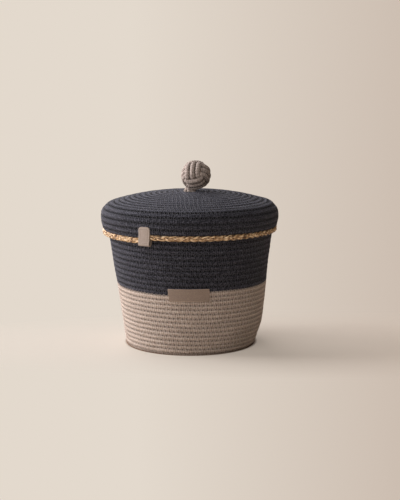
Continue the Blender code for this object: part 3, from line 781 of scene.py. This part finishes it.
# %% Base
BASE_TURNS = 13
BASE_START_RADIUS = 0.0030

base_rim = float(WALL.at(0.0, out=-WALL_CORD / 2)[0]) - SEAT_GAP
FLAT = Profile(
    [(BASE_START_RADIUS, WALL_CORD / 2), (base_rim / 2, WALL_CORD / 2), (base_rim, WALL_CORD / 2)],
    side=-1.0,
)
base_pitch = FLAT.length / (BASE_TURNS - 1 + 2 * TAPER_SHARE)


def base_seam(turn):
    """The base's seams: from the middle outwards, and level along the wall."""
    rising = base_pitch * (TAPER_SHARE + turn - 1)
    return np.where(turn < 1, 0.0, np.minimum(rising, FLAT.length))


base = Coil(FLAT, base_seam, BASE_TURNS, base_pitch, WALL_CORD, 0.0, -1)
base.sew("base", "basket", "base_rope", taupe_rope, taupe_thread, 1.0, BASE_TURNS)

# %% [markdown]
# ## The wall
#
# The wall is two ropes on one helix. The taupe one stops under the label, and the charcoal
# one goes on from there, so that the change of colour is a step which the label hides.

# %% Lower wall, taupe
FIRST_STITCH = 1.3


def taupe_seam(turn):
    """The seams of the taupe rows: level on the floor for one turn, then rising."""
    return np.where(turn < 1, 0.0, TAUPE_PITCH * (TAPER_SHARE + turn - 1))


lower = Coil(
    WALL, taupe_seam, TAUPE_TURNS, TAUPE_PITCH, WALL_CORD,
    math.tau * TAUPE_TURNS, -1, level_ends=(True, False),
)
lower.sew(
    "taupe_wall", "basket", "lower_wall_rope", taupe_rope, taupe_thread,
    FIRST_STITCH, TAUPE_TURNS + 1,
)

# %% Upper wall, charcoal
def charcoal_seam(turn):
    """The seams of the charcoal rows: over the last taupe row, then up to a level rim."""
    rising = COLOUR_SEAM + TAUPE_PITCH + CHARCOAL_PITCH * (turn - 1)
    over_taupe = COLOUR_SEAM + TAUPE_PITCH * turn
    return np.where(turn < 1, over_taupe, np.where(turn > CHARCOAL_TURNS, WALL.length, rising))


upper = Coil(
    WALL, charcoal_seam, CHARCOAL_TURNS, CHARCOAL_PITCH, WALL_CORD,
    0.0, -1, first_turn=TAUPE_TURNS, level_ends=(False, True),
)
upper.sew(
    "charcoal_wall", "basket", "upper_wall_rope", charcoal_rope, charcoal_thread,
    1.0, CHARCOAL_TURNS,
)

# %% [markdown]
# ## The lid
#
# The lid is one charcoal rope from the eye to the mouth. Its lower edge falls by one row
# over the last turn, and the tag hides the step where it ends.

# %% Lid coil
TAG_ANGLE = math.radians(-29.0)
LID_FIRST_TURN = 40.0


def lid_seam(turn):
    """The lid's seams, from the eye outwards. The mouth's edge falls in the last turn."""
    rising = LID_PITCH * (TAPER_SHARE + turn - 1)
    mouth = LID.length - EDGE_DROP * (1 - (turn - LID_TURNS))
    return np.where(turn < 1, 0.0, np.where(turn > LID_TURNS, mouth, rising))


lid = Coil(
    LID, lid_seam, LID_TURNS, LID_PITCH, LID_CORD, TAG_ANGLE, 1, first_turn=LID_FIRST_TURN
)
lid.sew("lid", "lid", "lid_rope", charcoal_rope, charcoal_thread, 1.0, LID_TURNS)

# %% [markdown]
# ## The straw plait
#
# The band under the skirt is a flat plait of three strands, and each strand is a bundle of
# straw. In a plait every strand swings up and down once while it goes over one neighbour
# and under the other, twice as often. So its height is a sine and its depth is a sine of
# twice the speed, and the three strands are a third of a swing apart.

# %% Straw material
STRAW_FIBRES = 4
STRAW_LENGTH = 0.006
STRAW_RELIEF = 0.0004


def plaited_straw():
    """Split straw: a few flat straws to a strand, gold to brown, with painted shade where they turn
    in.
    """
    material, tree, shader = new_material("plaited_straw")
    at_tube = add_node(tree, "ShaderNodeUVMap", uv_map=TUBE_MAP)
    parts = add_node(tree, "ShaderNodeSeparateXYZ", {0: at_tube}).outputs
    around = add_node(
        tree, "ShaderNodeMath", {0: parts[0], 1: STRAW_FIBRES * 2.0}, operation="MULTIPLY"
    )
    run = add_node(tree, "ShaderNodeMath", {0: parts[1], 1: 1 / STRAW_LENGTH}, operation="MULTIPLY")
    spot = add_node(tree, "ShaderNodeCombineXYZ", {0: around, 1: run})
    fibres = add_node(tree, "ShaderNodeTexNoise", {"Vector": spot, "Scale": 1.0, "Detail": 2.5})
    ramp = add_node(tree, "ShaderNodeValToRGB", {0: fibres})
    stops = ramp.color_ramp.elements
    stops[0].position, stops[0].color = 0.4, linear("#5c3d26")
    stops[1].position, stops[1].color = 0.63, linear("#f4dbb4")
    stops.new(0.5).color = linear("#c49a6b")
    # Painted shade: each strand is darker on its sides and its inner face, away from its outward
    # face.
    angle = add_node(tree, "ShaderNodeMath", {0: parts[0], 1: math.tau}, operation="MULTIPLY")
    facing = add_node(tree, "ShaderNodeMath", {0: angle}, operation="SINE")
    edge = add_node(tree, "ShaderNodeMapRange", {0: facing, 1: 0.2, 2: 0.8, 3: 0.35})
    body = add_node(tree, "ShaderNodeVectorMath", {0: ramp, 1: edge}, operation="MULTIPLY")
    relief = {"Height": fibres, "Strength": 0.7, "Distance": STRAW_RELIEF}
    bump = add_node(tree, "ShaderNodeBump", relief)
    feed(shader, {"Base Color": body, "Roughness": 0.55, "Specular IOR Level": 0.4, "Normal": bump})
    return material


straw = plaited_straw()
print("straw fibres round a strand:", STRAW_FIBRES)

# %% Straw plait
BAND_HEIGHT = 0.0082
BAND_THICKNESS = 0.0050
BAND_TUCK = 0.0006
PLAIT_STRANDS = 3
PLAIT_SWINGS = 23
PLAIT_RISE = 0.0020
PLAIT_DEPTH = 0.0014
STRAND_HALF_WIDTH = 0.0020
STRAND_HALF_THICKNESS = 0.0013
STRAND_STEP = 0.0014
STRAND_SIDES = 16
STRAND_UNEVEN = 0.06
STRAND_WAVES = (7.0, 19.0, 31.0)
STRAND_START = 2.0
BAND_MIDDLE_RADIUS = MOUTH_RADIUS - LID_CORD / 2 + BAND_THICKNESS / 2


def mouth_height(share):
    """Height of the skirt's lower edge, this share of a turn on from the tag."""
    return LID.at(LID.length - EDGE_DROP * (1 - share))[1]


band_gap = SEAT_GAP / BAND_MIDDLE_RADIUS / math.tau
share = np.linspace(band_gap, 1 - band_gap, round(math.tau * BAND_MIDDLE_RADIUS / STRAND_STEP))
band_angle = TAG_ANGLE + math.tau * share
band_height = mouth_height(share) - SEAT_GAP - BAND_HEIGHT / 2 + BAND_TUCK
outward = on_round(np.ones_like(share), 0.0, band_angle)
for strand in range(PLAIT_STRANDS):
    swing = math.tau * (PLAIT_SWINGS * share + strand / PLAIT_STRANDS)
    depth = PLAIT_DEPTH * np.sin(2 * swing)
    rise = PLAIT_RISE * np.sin(swing)
    points = on_round(BAND_MIDDLE_RADIUS + depth, band_height + rise, band_angle)
    fuller = 1 + STRAND_UNEVEN * waves(share, STRAND_WAVES, STRAND_START + strand)
    half_width, half_thickness = STRAND_HALF_WIDTH * fuller, STRAND_HALF_THICKNESS * fuller
    rings = rings_round(points, outward, half_width, half_thickness, STRAND_SIDES)
    piece = add_tube(f"straw_strand_{strand + 1}", rings, lengths_along(points), straw)
    settle(piece, "lid", "straw_band")
print("plait: swings", PLAIT_SWINGS, "rings", len(share))

# %% [markdown]
# ## Leather label and tag
#
# Both are cut from thin leather, so both are modelled flat first: a plane whose corners are
# rounded by a vertex bevel. Insets give the tag a line pressed along its edge, and the label
# a pale border where it is worn. Bisect cuts the plane into narrow strips, which lets it
# bend. Solidify gives the leather its thickness and a bevel softens the cut edge. Only then
# is the flat piece laid on the basket.

# %% Leather materials
CLOUD_SIZE = 0.006
GRAIN_RELIEF = 0.00025


def leather(name, colour, deep, pale, grain):
    """Matt leather: a fine grain of cells, clouds of tone, and wear on the raised parts."""
    material, tree, shader = new_material(name)
    colour, deep, pale = linear(colour), linear(deep), linear(pale)
    place = add_node(tree, "ShaderNodeTexCoord").outputs["Object"]
    cells = add_node(tree, "ShaderNodeTexVoronoi", {"Vector": place, "Scale": 1 / grain})
    cloud_inputs = {"Vector": place, "Scale": 1 / CLOUD_SIZE, "Detail": 4.0}
    clouds = add_node(tree, "ShaderNodeTexNoise", cloud_inputs)
    body = add_node(
        tree, "ShaderNodeMix", {0: clouds, 6: deep, 7: colour}, data_type="RGBA"
    ).outputs[2]
    worn = add_node(tree, "ShaderNodeMapRange", {0: cells, 1: 0.25, 2: 0.8, 4: 0.35})
    body = add_node(tree, "ShaderNodeMix", {0: worn, 6: body, 7: pale}, data_type="RGBA").outputs[2]
    rough = add_node(tree, "ShaderNodeMapRange", {0: clouds, 1: 0.3, 2: 0.7, 3: 0.5, 4: 0.68})
    relief = {"Height": cells, "Strength": 0.5, "Distance": GRAIN_RELIEF}
    bump = add_node(tree, "ShaderNodeBump", relief)
    feed(shader, {"Base Color": body, "Roughness": rough, "Normal": bump})
    return material


label_leather = leather("brown_grey_leather", "#8f7b6c", "#766456", "#ac998a", 0.0009)
tag_leather = leather("pale_taupe_leather", "#a49589", "#8f8176", "#b9a99d", 0.0008)
pressed_line = leather("pressed_leather", "#8d7b6f", "#7c6b60", "#a08e82", 0.0008)
cut_edge = leather("pale_cut_leather", "#bfa892", "#a58f7b", "#d2bda8", 0.0006)
print("leathers:", label_leather.name, tag_leather.name)

# %% Helpers for flat leather
CORNER_SEGMENTS = 4
STRIP_WIDTH = 0.0015
EDGE_BEVEL = 0.0002
EDGE_ANGLE = math.radians(50.0)
SMOOTH_ANGLE = math.radians(40.0)
PRESSED_WIDTH = 0.0004
PRESSED_DEPTH = 0.0002
WORN_WIDTH = 0.00045


def flat_leather(name, width, height, corner, thickness, line_inset, panel_height, face_colour):
    """Flat leather, with a line pressed round its upper panel, or with a pale worn edge."""
    bpy.ops.mesh.primitive_plane_add(size=1.0)
    piece = bpy.context.object
    piece.name = name
    for colour in (face_colour, cut_edge, pressed_line):
        piece.data.materials.append(colour)
    bpy.ops.object.mode_set(mode="EDIT")
    bpy.ops.transform.resize(value=(width, height, 1.0))
    bpy.ops.mesh.bevel(offset=corner, segments=CORNER_SEGMENTS, affect="VERTICES")
    split = height / 2 - panel_height
    if panel_height < height:
        bpy.ops.mesh.select_all(action="SELECT")
        bpy.ops.mesh.bisect(plane_co=(0.0, split, 0.0), plane_no=(0.0, 1.0, 0.0))
    mesh = bmesh.from_edit_mesh(piece.data)
    for face in mesh.faces:
        face.select_set(face.calc_center_median().y > split)
    bmesh.update_edit_mesh(piece.data)
    if line_inset > 0:
        bpy.ops.mesh.inset(thickness=line_inset, depth=0.0)
        bpy.ops.mesh.inset(thickness=PRESSED_WIDTH, depth=-PRESSED_DEPTH)
        mesh = bmesh.from_edit_mesh(piece.data)
        edges = {edge for face in mesh.faces if face.select for edge in face.edges}
        for face in (face for edge in edges for face in edge.link_faces if not face.select):
            face.material_index = 2
        bmesh.update_edit_mesh(piece.data)
        bpy.ops.mesh.inset(thickness=PRESSED_WIDTH, depth=PRESSED_DEPTH)
    else:
        bpy.ops.mesh.inset(thickness=WORN_WIDTH, depth=0.0)
        mesh = bmesh.from_edit_mesh(piece.data)
        for face in mesh.faces:
            face.material_index = 0 if face.select else 1
        bmesh.update_edit_mesh(piece.data)
    for way, size in (((1.0, 0.0, 0.0), width), ((0.0, 1.0, 0.0), height)):
        strips = round(size / STRIP_WIDTH)
        for step in range(1, strips):
            cut = [share * size * (step / strips - 0.5) for share in way]
            bpy.ops.mesh.select_all(action="SELECT")
            bpy.ops.mesh.bisect(plane_co=cut, plane_no=way)
    bpy.ops.object.mode_set(mode="OBJECT")
    solid = piece.modifiers.new("thickness", "SOLIDIFY")
    solid.thickness = thickness
    solid.offset = -1.0
    solid.use_rim = True
    solid.material_offset_rim = 1
    rounded = piece.modifiers.new("soft edge", "BEVEL")
    rounded.width = EDGE_BEVEL
    rounded.segments = 2
    rounded.limit_method = "ANGLE"
    rounded.angle_limit = EDGE_ANGLE
    for modifier in ("thickness", "soft edge"):
        bpy.ops.object.modifier_apply(modifier=modifier)
    return piece


def lay(piece, place):
    """Bends a flat piece on to the basket. place takes the way across, up and out of it."""
    move_points(piece, place)
    bpy.ops.object.select_all(action="DESELECT")
    piece.select_set(True)
    bpy.context.view_layer.objects.active = piece
    bpy.ops.object.shade_smooth_by_angle(angle=SMOOTH_ANGLE)


print("strip width mm:", STRIP_WIDTH * 1000)

# %% Front label
LABEL_WIDTH = 0.0532
LABEL_HEIGHT = 0.0166
LABEL_THICKNESS = 0.0015
LABEL_CORNER = 0.0006
LABEL_SLOPE = 0.010
LABEL_DROP = 0.0010
LABEL_ANGLE = math.radians(-2.2)

label_middle = WALL.length_at_height(COLOUR_HEIGHT - LABEL_DROP)
label_radius = float(WALL.at(label_middle, out=WALL_CORD / 2)[0])


def on_wall(across, up, out):
    """The label's place: bent round the wall, its back on the rows' crests."""
    place = label_middle + up + LABEL_SLOPE * across
    radius, height = WALL.at(place, out=WALL_CORD / 2 + SEAT_GAP + LABEL_THICKNESS + out)
    return on_round(radius, height, LABEL_ANGLE + across / label_radius)


label = flat_leather(
    "leather_label", LABEL_WIDTH, LABEL_HEIGHT, LABEL_CORNER, LABEL_THICKNESS,
    0.0, LABEL_HEIGHT, label_leather,
)
lay(label, on_wall)
settle(label, "basket", "front_label")
print("label faces:", len(label.data.polygons))

# %% Folded tag
TAG_WIDTH = 0.0162
TAG_HEIGHT = 0.0258
TAG_CORNER = 0.0038
TAG_FOLD_DROP = 0.0015
TAG_SLACK = 0.0010
TAG_LEAN = 0.10
TAG_INNER_SHORTER = 0.0030
TAG_LINE = 0.0024
LEAF_TRIALS = 100
SKIRT_SEARCH_SHARE = 0.2
TAG_LEVELS = 9
FOLD_STEPS = 8

band_low = float(mouth_height(1.0)) - SEAT_GAP - BAND_HEIGHT
tag_bottom = band_low - SEAT_GAP - TAG_THICKNESS - TAG_SLACK
tag_top = tag_bottom + TAG_HEIGHT
fold_middle = tag_bottom + TAG_THICKNESS + TAG_FOLD_DROP
inner_face = MOUTH_RADIUS - LID_CORD / 2 - SEAT_GAP
outer_face = MOUTH_RADIUS - LID_CORD / 2 + BAND_THICKNESS + SEAT_GAP
skirt_places = np.linspace(LID.length, LID.length * (1 - SKIRT_SEARCH_SHARE), LEAF_TRIALS)
skirt_radii, skirt_heights = LID.at(skirt_places, out=LID_CORD / 2 + SEAT_GAP)


def tag_line():
    """The tag from the side: down the skirt and the band, round the fold and up inside."""
    heights = np.linspace(tag_top, fold_middle, TAG_LEVELS)
    leaf = np.maximum(outer_face, np.interp(heights, skirt_heights, skirt_radii, left=0.0))
    line = list(zip(leaf, heights))
    middle, reach = (inner_face + outer_face) / 2, (outer_face - inner_face) / 2
    for step in range(1, FOLD_STEPS):
        angle = math.pi * step / FOLD_STEPS
        height = fold_middle - TAG_FOLD_DROP * math.sin(angle)
        line.append((middle + reach * math.cos(angle), height))
    heights = np.linspace(fold_middle, tag_top - TAG_INNER_SHORTER, TAG_LEVELS)
    return line + [(inner_face, height) for height in heights]


TAG = Profile(tag_line(), side=-1.0)


def on_skirt(across, up, out):
    """The tag's place: its length runs down the outer leaf and up the inner one."""
    radius, height = TAG.at(TAG.length / 2 - up, out=TAG_THICKNESS + out)
    aside = across + (height - tag_top) * TAG_LEAN
    return on_round(radius, height, TAG_ANGLE + aside / outer_face)


tag = flat_leather(
    "leather_tag", TAG_WIDTH, TAG.length, TAG_CORNER, TAG_THICKNESS,
    TAG_LINE, TAG_HEIGHT - TAG_FOLD_DROP, tag_leather,
)
lay(tag, on_skirt)
settle(tag, "lid", "lid_tag")
print("tag strip mm:", round(TAG.length * 1000, 1), "faces:", len(tag.data.polygons))

# %% [markdown]
# ## The knot
#
# The knob is a knot of one cord: three windings of three turns, each at right angles to
# the other two, round a small ball. Each turn is a rounded rectangle, and at one end of it
# the cord steps over by its own width. The real cord is soft and pulled tight. So its route
# is squeezed and drawn in towards a ball, its corners are smoothed, and it wanders a little.
# The knot leans and turns so that a face with three clean strands shows in front.

# %% One winding of the knot, as in the part
KNOT_STEP = 0.0075
KNOT_SQUEEZE = 0.71
KNOT_TURNS = 3
KNOT_ARC_STEPS = 4
KNOT_RUN_STEPS = 2

inner_reach, outer_reach = 2 * KNOT_STEP, 3 * KNOT_STEP


def corner(centre, start_degrees):
    """A quarter circle of one strand step, along and across a winding."""
    angles = np.radians(start_degrees + 90.0 * np.arange(KNOT_ARC_STEPS) / KNOT_ARC_STEPS)
    along, across = centre
    return [(along + KNOT_STEP * math.cos(a), across + KNOT_STEP * math.sin(a)) for a in angles]


def run(start, end):
    """Points from start up to, but not including, end."""
    start, end = np.array(start), np.array(end)
    return [tuple(start + (end - start) * step / KNOT_RUN_STEPS) for step in range(KNOT_RUN_STEPS)]


def level_part():
    """The part of a turn that stays at one level."""
    points = corner((inner_reach, KNOT_STEP), 0.0)
    points += run((inner_reach, inner_reach), (-inner_reach, inner_reach))
    points += corner((-inner_reach, KNOT_STEP), 90.0)
    points += run((-outer_reach, KNOT_STEP), (-outer_reach, -KNOT_STEP))
    points += corner((-inner_reach, -KNOT_STEP), 180.0)
    return points + run((-inner_reach, -inner_reach), (inner_reach, -inner_reach))


def winding(long_way, travel, advance):
    """Three turns of one winding, with the strand that enters it and the one that leaves."""
    long_way, travel, advance = (np.array(way, dtype=float) for way in (long_way, travel, advance))
    stepping = corner((inner_reach, -KNOT_STEP), -90.0)
    stepping += run((outer_reach, -KNOT_STEP), (outer_reach, KNOT_STEP))
    arc, straight = KNOT_STEP * math.pi / 2, 2 * KNOT_STEP
    walked = [arc * step / KNOT_ARC_STEPS for step in range(KNOT_ARC_STEPS)]
    walked += [arc + straight * step / KNOT_RUN_STEPS for step in range(KNOT_RUN_STEPS)]
    rising = [(*point, way / (arc + straight)) for point, way in zip(stepping, walked)]
    points = []
    for turn in range(KNOT_TURNS + 1):
        level = turn - (KNOT_TURNS + 1) / 2
        rest = level_part() if turn < KNOT_TURNS else [(outer_reach, KNOT_STEP)]
        start = rising if turn > 0 else rising[KNOT_ARC_STEPS:]
        for along, across, over in start + [(*point, 1.0) for point in rest]:
            in_plane = (long_way * along + travel * across) * KNOT_SQUEEZE
            points.append(in_plane + advance * (KNOT_STEP * (level + over)))
    return points


print("points to a winding:", len(winding((1, 0, 0), (0, 1, 0), (0, 0, 1))))

# %% Route of the knot's cord, as in the part
KNOT_TILT = math.radians(40.0)
KNOT_YAW = math.radians(-16.0)
KNOT_LEAN = math.radians(-8.0)
KNOT_SHIFT = 0.0085
KNOT_RISE = 0.0210
TRANSITION_STEPS = 5
TRANSITION_PULL = 0.0160
TAIL_SPREAD = 0.0054
TAIL_STEPS = 5
TAIL_EYE_PULL = 0.0040
TAIL_KNOT_PULL = 0.0140
TAIL_TURN = math.radians(165.0)

lid_underside = lid_top - LID_CORD
knot_centre = np.array((KNOT_SHIFT, 0.0, lid_top + KNOT_RISE))


def bridge(start, start_pull, end, end_pull, steps):
    """Points between two ends on one smooth curve, without the ends."""
    shares = np.arange(1, steps + 1) / (steps + 1)
    return [smooth_between(u, start, start_pull, end, end_pull) for u in shares]


def knot_route():
    """The whole cord: up through the eye, three windings, and down again."""
    x, y, z = np.eye(3)
    groups = [winding(x, y, z), winding(y, -z, -x), winding(-z, x, -y)]
    points = list(groups[0])
    for group in groups[1:]:
        leaving = unit(points[-1] - points[-2]) * TRANSITION_PULL
        entering = unit(group[1] - group[0]) * TRANSITION_PULL
        points += bridge(points[-1], leaving, group[0], entering, TRANSITION_STEPS) + group
    points = points[:-KNOT_RUN_STEPS]
    tilted = Matrix.Rotation(-KNOT_TILT, 3, "X") @ Matrix(((0, 0, 1), (1, 0, 0), (0, 1, 0)))
    leaned = Matrix.Rotation(KNOT_LEAN, 3, "Y") @ tilted
    turned = np.array(Matrix.Rotation(KNOT_YAW, 3, "Z") @ leaned)
    points = [knot_centre + turned @ point for point in points]
    eye = np.array((0.0, 0.0, lid_top))
    to_end = np.array((0.0, 0.0, lid_underside - lid_top))
    up = np.array((0.0, 0.0, TAIL_EYE_PULL))
    spread = np.array((math.cos(TAIL_TURN), math.sin(TAIL_TURN), 0.0)) * TAIL_SPREAD
    first, last = eye + spread, eye - spread
    rising = unit(points[1] - points[0]) * TAIL_KNOT_PULL
    falling = unit(points[-1] - points[-2]) * TAIL_KNOT_PULL
    head = [first + to_end, first] + bridge(first, up, points[0], rising, TAIL_STEPS)
    tail = bridge(points[-1], falling, last, -up, TAIL_STEPS) + [last, last + to_end]
    return np.array(head + points + tail)


route = knot_route()
print("knot cord mm:", round(lengths_along(route)[-1] * 1000), "points:", len(route))

# %% Helpers that pull the knot tight
BALL_RADIUS = 0.0161
TIGHTNESS = 0.3
LONG_WAY = np.array((0.96, 0.0, 0.28))
LONGER = 0.08
FLATTER = 0.955
BALL_FOOT = 0.0200
BALL_FADE = 0.0040
KNOT_RING_STEP = 0.0009
SMOOTHING_ROUNDS = 14


def even_steps(points, step):
    """Points at even distances along a line."""
    walked = lengths_along(points)
    places = np.linspace(0.0, walked[-1], round(walked[-1] / step))
    return np.stack([np.interp(places, walked, axis) for axis in points.T], axis=1)


def smoothed(points, rounds):
    """The line with its corners rubbed off, its ends kept."""
    for _ in range(rounds):
        inner = (points[:-2] + 2 * points[1:-1] + points[2:]) / 4
        points = np.concatenate([points[:1], inner, points[-1:]])
    return points


def share_in_ball(points):
    """1 for a point of the knot's ball, down to 0 for one of the two ends below it."""
    height = points[:, 2:] - knot_centre[2]
    return np.clip((height + BALL_FOOT) / BALL_FADE, 0.0, 1.0)


def drawn_round(points):
    """The strands drawn in towards a ball, a little longer one way, as the cord is pulled."""
    away = points - knot_centre
    reach = np.linalg.norm(away, axis=1, keepdims=True)
    tight = np.minimum(reach, BALL_RADIUS + (reach - BALL_RADIUS) * TIGHTNESS)
    ball = away * (tight / reach) * FLATTER
    ball = ball + (ball @ LONG_WAY)[:, None] * LONG_WAY * LONGER
    return knot_centre + away + (ball - away) * share_in_ball(points)


def carried(points):
    """A normal for each point, carried along the line without needless twist."""
    tangents = unit(np.gradient(points, axis=0))
    normal = np.cross(tangents[0], (0.0, 1.0, 0.0))
    normals = []
    for tangent in tangents:
        normal = normal - tangent * normal.dot(tangent)
        normal = normal / np.linalg.norm(normal)
        normals.append(normal)
    return np.array(normals)


even_route = even_steps(route, KNOT_RING_STEP)
line = smoothed(drawn_round(even_route), SMOOTHING_ROUNDS)
print("rings of the knot's cord:", len(line))

# %% Knot cord
KNOT_FULL_CORD = 0.0072
KNOT_SIDES = 20
KNOT_WANDER = 0.00025
WANDER_WAVES = (11.0, 23.0, 41.0)
WANDER_STARTS = (0.4, 1.9, 3.1)
CORD_UNEVEN = 0.03
CORD_WAVES = (17.0, 37.0, 71.0)
CORD_START = 0.9
GROOVE_START = 0.6

grey_cord = cotton_rope(
    "grey_taupe_braided_cord", "#ab9c92", "#7a6c62", "#cec1b8",
    sheen=0.3, dent_full=1.0, dent_share=0.3, flecks_share=0.25, depth=0.0002,
)
share = np.linspace(0.0, 1.0, len(line))
wander = np.stack([waves(share, WANDER_WAVES, start) for start in WANDER_STARTS], axis=1)
line = line + KNOT_WANDER * wander
full = KNOT_FULL_CORD / 2 * (1 + CORD_UNEVEN * waves(share, CORD_WAVES, CORD_START))
rings = rings_round(line, carried(line), full, full, KNOT_SIDES)
# Painted shade between the strands: where the cord faces away from the knot's outside, the dent
# attribute darkens its colour.
facing_out = (unit(rings - line[:, None]) * unit(line - knot_centre)[:, None]).sum(axis=2)
grooves = (1 - facing_out / GROOVE_START).clip(0.0, 1.0) * share_in_ball(line)
knot_cord = add_tube("knot_cord", rings, lengths_along(line), grey_cord, dents=grooves)
settle(knot_cord, "lid", "knob_cord")
print("knot cord faces:", len(knot_cord.data.polygons))

# %% Neck of the knot
NECK_TOP = 0.0090
NECK_FRONT = 0.0012
NECK_STEPS = 24

# A short upright piece of the same cord fills the eye between the two ends.
heights = np.linspace(lid_underside, lid_top + NECK_TOP, NECK_STEPS)
neck = np.stack([np.zeros_like(heights), np.full_like(heights, -NECK_FRONT), heights], axis=1)
half = KNOT_FULL_CORD / 2
neck_rings = rings_round(neck, carried(neck), half, half, KNOT_SIDES)
neck_cord = add_tube("knot_neck_cord", neck_rings, lengths_along(neck), grey_cord)
settle(neck_cord, "lid")
print("neck height mm:", round(NECK_TOP * 1000, 1))

# %% [markdown]
# Inside the knot sits a small turned ball, which keeps it round. It is the part's own
# solid, and shows only as a glimpse between the strands. Under the lid the cord's ends are
# tied in an overhand knot, whose shape is the well-known trefoil curve.

# %% Core
GRAIN_WIDTH = 0.001
GRAIN_STRETCH = (1.0, 1.0, 0.2)


def turned_wood():
    """Plain turned beech: fine lengthwise grain under a thin wax."""
    material, tree, shader = new_material("turned_beech")
    place = add_node(tree, "ShaderNodeTexCoord").outputs["Object"]
    long_grain = add_node(tree, "ShaderNodeMapping", {"Vector": place, "Scale": GRAIN_STRETCH})
    grain = add_node(tree, "ShaderNodeTexNoise", {"Vector": long_grain, "Scale": 1 / GRAIN_WIDTH})
    colours = {0: grain, 6: linear("#8a6a4a"), 7: linear("#c4a27c")}
    body = add_node(tree, "ShaderNodeMix", colours, data_type="RGBA").outputs[2]
    feed(shader, {"Base Color": body, "Roughness": 0.5})
    return material


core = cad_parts["knob_core"]
core.material_slots[0].link = "OBJECT"
core.material_slots[0].material = turned_wood()
print("core:", core.name, "of", core.material_slots[0].material.name)

# %% Stopper knot
STOPPER_CORD = 0.0044
STOPPER_SIDES = 12
TREFOIL_WIDTH = 0.0026
TREFOIL_DEPTH = 0.0020
TREFOIL_POINTS = 160

around = np.arange(TREFOIL_POINTS) / TREFOIL_POINTS * math.tau
stopper_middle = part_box("stopper_knot")[1][2] - TREFOIL_DEPTH - STOPPER_CORD / 2
trefoil = np.stack([
    TREFOIL_WIDTH * (np.sin(around) + 2 * np.sin(2 * around)),
    TREFOIL_WIDTH * (np.cos(around) - 2 * np.cos(2 * around)),
    stopper_middle - TREFOIL_DEPTH * np.sin(3 * around),
], axis=1)
outwards = trefoil.copy()
outwards[:, 2] = TREFOIL_WIDTH
rings = rings_round(trefoil, outwards, STOPPER_CORD / 2, STOPPER_CORD / 2, STOPPER_SIDES)
stopper = add_tube("stopper_cord", rings, lengths_along(trefoil), grey_cord, closed=True)
settle(stopper, "lid", "stopper_knot")
print("stopper width mm:", round((np.ptp(trefoil[:, 0]) + STOPPER_CORD) * 1000, 1))
